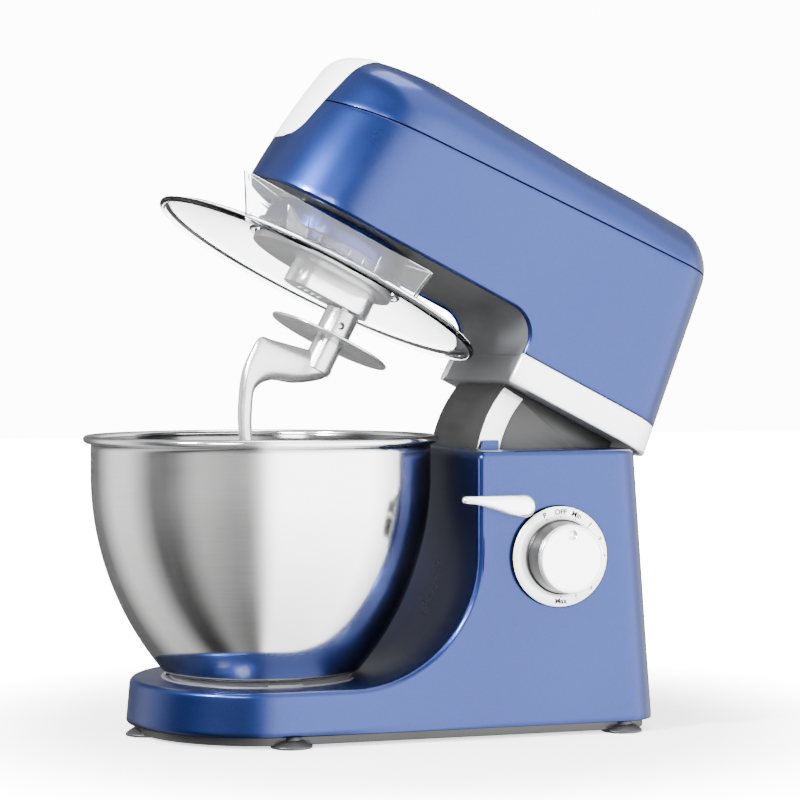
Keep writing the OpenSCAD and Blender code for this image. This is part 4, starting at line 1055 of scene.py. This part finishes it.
def makeHook():
    sides = 28
    rows = []
    flat = [(*a, *b, x, t) for a, b, x, t in hookStations]
    for ay, az, by, bz, x, thick in smoothRun(flat, 6):
        outer, inner = Vector((x, ay, az)), Vector((x, by, bz))
        middle, reach = (outer + inner) / 2, (outer - inner) / 2
        row = []
        for k in range(sides):
            c, q = squareRound(2 * math.pi * k / sides, 0.86)
            row.append(middle + Vector((thick * q, 0, 0)) + reach * c)
        rows.append(row)
    bm = gridMesh(rows, closed=True, capEnds=True)
    finishMesh("hookArm", bm, onHead, "tool", "hook", ["dough_hook"])
    top, low, bore = hub["top"], hub["low"], hub["bore"]
    profile = [(bore, top), (hub["r"], top), (hub["r"], 176.4), (hub["r"], hub["step"]),
               (hub["neckR"], hub["step"]), (hub["neckR"], low), (bore, low)]
    piece = latheSolid("hookHub", profile, 0.9, onHead, "tool", "hook", centre=(0, toolY, 0),
                       steps=96)
    r = hub["pinR"]
    cutter = latheMesh([(0.01, -20), (r, -20), (r, 20), (0.01, 20), (0.01, -20)], 32, "x",
                       (0, toolY, hub["pinZ"]))
    cutWith(piece, plainObject("pinBore", cutter, onHead))
    piece.data.polygons.foreach_set("use_smooth", [True] * len(piece.data.polygons))
    addBevel(piece, 0.35)
    low, high, r = hub["shieldLow"], hub["shieldHigh"], hub["shieldR"]
    shield = [(10.6, low), (r, low), (r, high), (10.6, high)]
    latheSolid("hookShield", shield, 0.9, onHead, "tool", "hook", centre=(0, toolY, 0),
               steps=160, stands=["hook_shield"])


makeHook()
print("stage: hook made")

# Speed knob, dial and lever
knob = {"start": 4.3, "skirt": 25.0, "body": 24.0, "front": 22.4, "depth": 21.2, "dimple": 16.0,
        "dimpleR": 4.4}
dial = {"outer": 33.5, "inner": 20.5, "thick": 4.0, "letterAt": 29.6, "dotAt": 26.7, "size": 4.9}


def onKnob(turn=0.0):
    # Frame on the dial's face: x to the right, y up, z out of the face; turn goes clockwise
    frameHere = Matrix(((0, 0, 1, 0), (1, 0, 0, 0), (0, 1, 0, 0), (0, 0, 0, 1)))
    return (onBase @ Matrix.Translation((baseHalf, knobY, knobZ)) @ frameHere
            @ Matrix.Rotation(-math.radians(turn), 4, "Z"))


def makeKnob():
    s, d = knob["start"], knob["start"] + knob["depth"]
    profile = [(3.3, s), (knob["skirt"], s), (knob["skirt"], s + 2.6), (knob["body"], s + 3.2),
               (knob["front"] + 0.5, d - 4.2), (knob["front"] + 0.5, d - 3.4),
               (knob["front"] - 0.1, d - 3.2), (knob["front"] - 0.1, d - 2.6),
               (knob["front"] + 0.4, d - 2.4), (knob["front"] + 0.1, d - 0.6),
               (knob["front"] - 1.6, d), (knob["front"] - 2.2, d - 0.35), (0.02, d - 0.2)]
    loop = roundedLoop(profile, 0.45, 3)[4:]
    bm = latheMesh(loop, 128)
    piece = finishMesh("speedKnob", bm, onKnob(), "knob", "chrome", ["speed_knob"])
    bm = latheMesh([(knob["dimpleR"] * math.sin(math.radians(a)),
                     -knob["dimpleR"] * math.cos(math.radians(a))) for a in range(0, 181, 9)],
                   32, centre=(0, knob["dimple"], d + 2.4))
    return piece, bm


def makeDial():
    profile = [(dial["inner"], 0.0), (dial["outer"], 0.0), (dial["outer"], dial["thick"] - 0.8),
               (dial["outer"] - 0.8, dial["thick"]), (dial["inner"], dial["thick"])]
    bm = latheMesh(profile + profile[:1], 160)
    finishMesh("dialRing", bm, onKnob(), "base", "silver", ["dial_ring"])
    # Dark ink ring round the dial's edge: a dark seam at its foot, and painted shade over the
    # dial's side wall above it
    edge = [(dial["outer"] + 0.02, 0.0), (dial["outer"] + 0.45, 0.0), (dial["outer"] + 0.45, 3.2),
            (dial["outer"] + 0.02, 3.2)]
    bm = latheMesh(edge + edge[:1], 160)
    finishMesh("dialSeamAndShade", bm, onKnob(), "base", "ink", ())
    marks = ["P", "OFF", "Min", "1", "2", "3", "4", "5", "6", "Max"]
    ink = bmesh.new()
    for i, word in enumerate(marks):
        turn = -22.5 + 22.5 * i
        curve = bpy.data.curves.new("mark", "FONT")
        curve.body = word
        curve.size = dial["size"]
        curve.offset = 0.16
        curve.align_x, curve.align_y = "CENTER", "CENTER"
        letter = bpy.data.objects.new("mark", curve)
        bpy.context.scene.collection.objects.link(letter)
        bpy.context.view_layer.update()
        mesh = bpy.data.meshes.new_from_object(
            letter.evaluated_get(bpy.context.evaluated_depsgraph_get()))
        bpy.data.objects.remove(letter)
        upright = Matrix.Rotation(math.pi, 4, "Z") if turn > 112 else Matrix.Identity(4)
        mesh.transform(onKnob(turn) @ Matrix.Translation((0, dial["letterAt"],
                                                          dial["thick"] + 0.04)) @ upright)
        ink.from_mesh(mesh)
        dot = bmesh.new()
        dotPlace = Matrix.Translation((0, dial["dotAt"], dial["thick"] + 0.04))
        bmesh.ops.create_circle(dot, cap_ends=True, radius=0.5, segments=16, matrix=dotPlace)
        bmesh.ops.transform(dot, matrix=onKnob(turn), verts=dot.verts)
        dotMesh = bpy.data.meshes.new("dot")
        dot.to_mesh(dotMesh)
        dot.free()
        ink.from_mesh(dotMesh)
    finishMesh("dialMarks", ink, Matrix.Identity(4), "base", "ink", (), 0.0)


lever = {"start": 0.4, "thick": 8.6, "endR": 7.6, "tipR": 2.5, "long": 42.0, "rise": 4.6}


def makeLever():
    # Drop-shaped blade, domed across, thick at its pivot and thin at its tip
    ey, ez, r = leverY, leverZ, lever["endR"]
    ty, tz, q = leverY - lever["long"] + lever["tipR"], leverZ + lever["rise"], lever["tipR"]
    outline = arcPoints(ey, ez, r, -78, 84, 18)
    outline += [(lerp(ey + r * 0.1, ty, t),
                 lerp(ez + r * 0.99, tz + q, smoothStep(t) * 0.6 + t * 0.4))
                for t in (0.2, 0.4, 0.6, 0.8)]
    outline += arcPoints(ty, tz, q, 92, 262, 12)
    outline += [(lerp(ty, ey + r * 0.2, t), lerp(tz - q, ez - r * 0.98, smoothStep(t)))
                for t in (0.12, 0.25, 0.4, 0.55, 0.7, 0.85)]
    middleY = sum(p[0] for p in outline) / len(outline)
    rows = []
    for inset, out in ((0.0, 0.0), (0.0, 0.62), (0.5, 0.8), (1.3, 0.93), (2.4, 0.985), (3.6, 1.0)):
        row = []
        for y, z in outline:
            t = max(0.0, min(1.0, (y - ty) / (ey - ty)))
            depth = lerp(0.55, 1.0, smoothStep(t)) * lever["thick"]
            cy, cz = max(ty, min(ey, y)), lerp(tz, ez, t)
            away = Vector((y - cy, z - cz))
            length = max(away.length, 0.001)
            kept = max(0.02, 1 - inset / max(length, inset + 0.05))
            row.append(Vector((baseHalf + lever["start"] + depth * out, cy + away.x * kept,
                               cz + away.y * kept)))
        rows.append(row)
    bm = gridMesh(rows, closed=True, capEnds=True)
    finishMesh("releaseLever", bm, onBase, "lever", "chrome", ["release_lever"])


neckGuide = {"inside": 50.4, "outside": 57.0}


def makeNeckGuides():
    # Low blocks on the column's top, one on each side of the neck
    for name, side in (("neckGuideRight", 1), ("neckGuideLeft", -1)):
        outline = roundedLoop([(138.0, 190.6), (151.5, 190.6), (151.5, 197.2),
                               (140.5, 197.2)], 0.8)
        low, high = sorted((side * neckGuide["inside"], side * neckGuide["outside"]))
        bm = extrudeMesh(outline, low, high)
        piece = finishMesh(name, bm, onBase, "base", "blue", ())
        addBevel(piece, 0.5)


knobPiece, dimpleMesh = makeKnob()
cutWith(knobPiece, plainObject("dimple", dimpleMesh, onKnob()))
# The knob's side takes the dark copy of the chrome: painted shade and reflection on the side,
# while the face stays chrome
knobPiece.data.materials.append(materials["knobShadedSide"])
faceX = baseHalf + knob["start"] + knob["depth"] - 3.4
for polygon in knobPiece.data.polygons:
    if polygon.center.x / mm < faceX:
        polygon.material_index = 1
    elif polygon.normal.x > 0.98:
        polygon.use_smooth = False
makeDial()
makeLever()
makeNeckGuides()
print("stage: controls made")

# Packed pieces that keep their shape
kept = {
    "black": (["base_plate", "suction_feet", "speed_switch", "cord_gland", "drive_belt",
               "cooling_fan"], 0.4),
    "neck": (["neck_shell"], 0.8),
    "grey": (["bowl_seat", "bowl_foot"], 0.5),
    "disc": (["carrier_disc"], 0.6),
    "silver": (["dial_ring", "neck_strips"], 0.4),
    "chrome": (["carrier_box"], 1.0),
    "blue": (["gear_collar"], 0.5),
    "card": (["control_board"], 0.2),
    "nylon": (["planet_gear", "pinion"], 0.1),
    "cast": (["head_frame", "upper_bridge", "motor_brackets", "belt_pulley", "motor_pulley",
              "motor_stator", "motor_rotor", "hinge_bracket", "latch_pawl"], 0.4),
    "shaft": (["hinge_pin", "knob_spindle", "lever_shaft", "motor_shaft", "countershaft",
               "main_shaft", "output_shaft", "drive_pin", "ring_gear", "main_gear",
               "main_bearings", "motor_bearings", "hinge_spring", "latch_spring", "foot_screws",
               "plate_screws", "seat_screws", "collar_screws", "bridge_screws"], 0.1),
    "bronze": (["hinge_bushes", "brush_holders"], 0.1),
}
for material, (names, width) in kept.items():
    for name in names:
        node = frame["nodes"][name]
        node.data.materials.clear()
        node.data.materials.append(materials[material])
        node.data.polygons.foreach_set("use_smooth", [True] * len(node.data.polygons))
        weld = node.modifiers.new("weld", "WELD")
        weld.merge_threshold = 0.00001
        if width:
            addBevel(node, width)
print("stage: kept pieces dressed")

# Stage, light and camera
def directSight(tree):
    # One on rays that have met nothing but clear plastic, else zero
    path = addNode(tree, "ShaderNodeLightPath")
    total = addNode(tree, "ShaderNodeMath",
                    [(0, path.outputs["Diffuse Depth"]), (1, path.outputs["Glossy Depth"])],
                    operation="ADD")
    return addNode(tree, "ShaderNodeMath", [(0, total.outputs[0]), (1, 0.5)],
                   operation="LESS_THAN").outputs[0]


floorSize = 6.0
floor = plainObject("floor", gridMesh([[Vector((x, y, 0)) for x in (-1, 1)] for y in (-1, 1)]),
                    Matrix.Diagonal((floorSize, floorSize, 1, 1)))
floorLook = {"near": 0.2, "far": 0.55, "glowNear": 1.4, "glowFar": 24.0}
floorMaterial, floorTree, floorShader = startMaterial(
    "paleFloor", color=(0.86, 0.86, 0.87, 1), roughness=0.6)
spot = addNode(floorTree, "ShaderNodeNewGeometry")
away = addNode(floorTree, "ShaderNodeVectorMath", [(0, spot.outputs["Position"])],
               operation="LENGTH")
glow = addNode(floorTree, "ShaderNodeMapRange",
               [("Value", away.outputs["Value"]), ("From Min", floorLook["near"]),
                ("From Max", floorLook["far"]), ("To Min", floorLook["glowNear"]),
                ("To Max", floorLook["glowFar"])], interpolation_type="SMOOTHSTEP")
light = addNode(floorTree, "ShaderNodeEmission", [("Strength", glow.outputs[0])])
both = addNode(floorTree, "ShaderNodeAddShader",
               [(0, floorShader.outputs[0]), (1, light.outputs[0])])
hidden = addNode(floorTree, "ShaderNodeBsdfTransparent")
floorMix = addNode(floorTree, "ShaderNodeMixShader",
                   [(0, directSight(floorTree)), (1, hidden.outputs[0]), (2, both.outputs[0])])
floorTree.links.new(floorMix.outputs[0], floorTree.nodes["Material Output"].inputs["Surface"])
floor.data.materials.append(floorMaterial)

world = bpy.data.worlds.new("studio")
bpy.context.scene.world = world
world.use_nodes = True
tree = world.node_tree
tree.nodes.clear()
place = addNode(tree, "ShaderNodeTexCoord")
parts = addNode(tree, "ShaderNodeSeparateXYZ", [("Vector", place.outputs["Generated"])])
turned = addNode(tree, "ShaderNodeMath", [(0, parts.outputs["Y"]), (1, -1.0)],
                 operation="MULTIPLY")
around = addNode(tree, "ShaderNodeMath", [(0, turned.outputs[0]), (1, parts.outputs["X"])],
                 operation="ARCTAN2")
share = addNode(tree, "ShaderNodeMapRange",
                [("Value", around.outputs[0]), ("From Min", -math.pi), ("From Max", math.pi)])
ramp = addNode(tree, "ShaderNodeValToRGB", [("Fac", share.outputs[0])])
stops = [(-180, 0.023), (-140, 0.06), (-88, 0.42), (-65, 1.0), (2, 1.0), (8, 0.68), (15, 0.19),
         (22, 0.068), (32, 0.062), (47, 0.088), (56, 0.1), (64, 0.072), (72, 0.028), (80, 0.01),
         (92, 0.013), (101, 0.075), (114, 0.18), (131, 0.18), (146, 0.075), (156, 0.023),
         (180, 0.015)]
ramp.color_ramp.elements[0].position = 0
ramp.color_ramp.elements[0].color = (stops[0][1],) * 3 + (1,)
ramp.color_ramp.elements[1].position = 1
ramp.color_ramp.elements[1].color = (stops[-1][1],) * 3 + (1,)
for degrees, level in stops[1:-1]:
    stop = ramp.color_ramp.elements.new((degrees + 180) / 360)
    stop.color = (level, level, level, 1)
overhead = addNode(tree, "ShaderNodeMapRange",
                   [("Value", parts.outputs["Z"]), ("From Min", 0.5), ("From Max", 0.95),
                    ("To Min", 0.0), ("To Max", 0.1)])
below = addNode(tree, "ShaderNodeMapRange",
                [("Value", parts.outputs["Z"]), ("From Min", -0.9), ("From Max", -0.15),
                 ("To Min", 0.45), ("To Max", 1.0)])
above = addNode(tree, "ShaderNodeMapRange",
                [("Value", parts.outputs["Z"]), ("From Min", 0.1), ("From Max", 0.5),
                 ("To Min", 1.0), ("To Max", 0.55)])
lower = addNode(tree, "ShaderNodeMath", [(0, above.outputs[0]), (1, below.outputs[0])],
                operation="MULTIPLY")
dimmed = addNode(tree, "ShaderNodeMath", [(0, ramp.outputs["Color"]), (1, lower.outputs[0])],
                 operation="MULTIPLY")
level = addNode(tree, "ShaderNodeMath", [(0, dimmed.outputs[0]), (1, overhead.outputs[0])],
                operation="MAXIMUM")
studio = addNode(tree, "ShaderNodeBackground", [("Color", level.outputs[0]), ("Strength", 8.0)])
paper = addNode(tree, "ShaderNodeBackground", [("Color", (1, 1, 1, 1)), ("Strength", 13.0)])
choose = addNode(tree, "ShaderNodeMixShader",
                 [(0, directSight(tree)), (1, studio.outputs[0]), (2, paper.outputs[0])])
addNode(tree, "ShaderNodeOutputWorld", [("Surface", choose.outputs[0])])

softboxes = [  # name, place, size, watts; each faces the mixer
    ("noseLight", (0.74, -1.70, 1.39), 0.24, 170),
    ("sideLight", (1.56, -1.31, 1.02), 0.6, 38),
    ("topLight", (-0.1, 0.2, 2.4), 1.0, 30),
]
target = Vector((0, 0, 0.2))
for name, spot, size, watts in softboxes:
    data = bpy.data.lights.new(name, "AREA")
    data.shape = "SQUARE"
    data.size = size
    data.energy = watts
    lamp = bpy.data.objects.new(name, data)
    lamp.location = spot
    lamp.rotation_mode = "QUATERNION"
    lamp.rotation_quaternion = (target - Vector(spot)).to_track_quat("-Z", "Y")
    bpy.context.scene.collection.objects.link(lamp)

view = {"place": (1583.0, -400.0, 252.0), "toward": (-0.9537, 0.3007, 0.0), "lens": 107.69,
        "shift": -0.051}
cameraData = bpy.data.cameras.new("camera")
cameraData.lens = view["lens"]
cameraData.sensor_width = 36
cameraData.shift_y = view["shift"]
cameraData.clip_end = 50
camera = bpy.data.objects.new("camera", cameraData)
camera.location = onBase @ Vector(view["place"])
camera.rotation_mode = "QUATERNION"
camera.rotation_quaternion = Vector(view["toward"]).to_track_quat("-Z", "Y")
bpy.context.scene.collection.objects.link(camera)
bpy.context.scene.camera = camera

print("stage: lights and camera set")
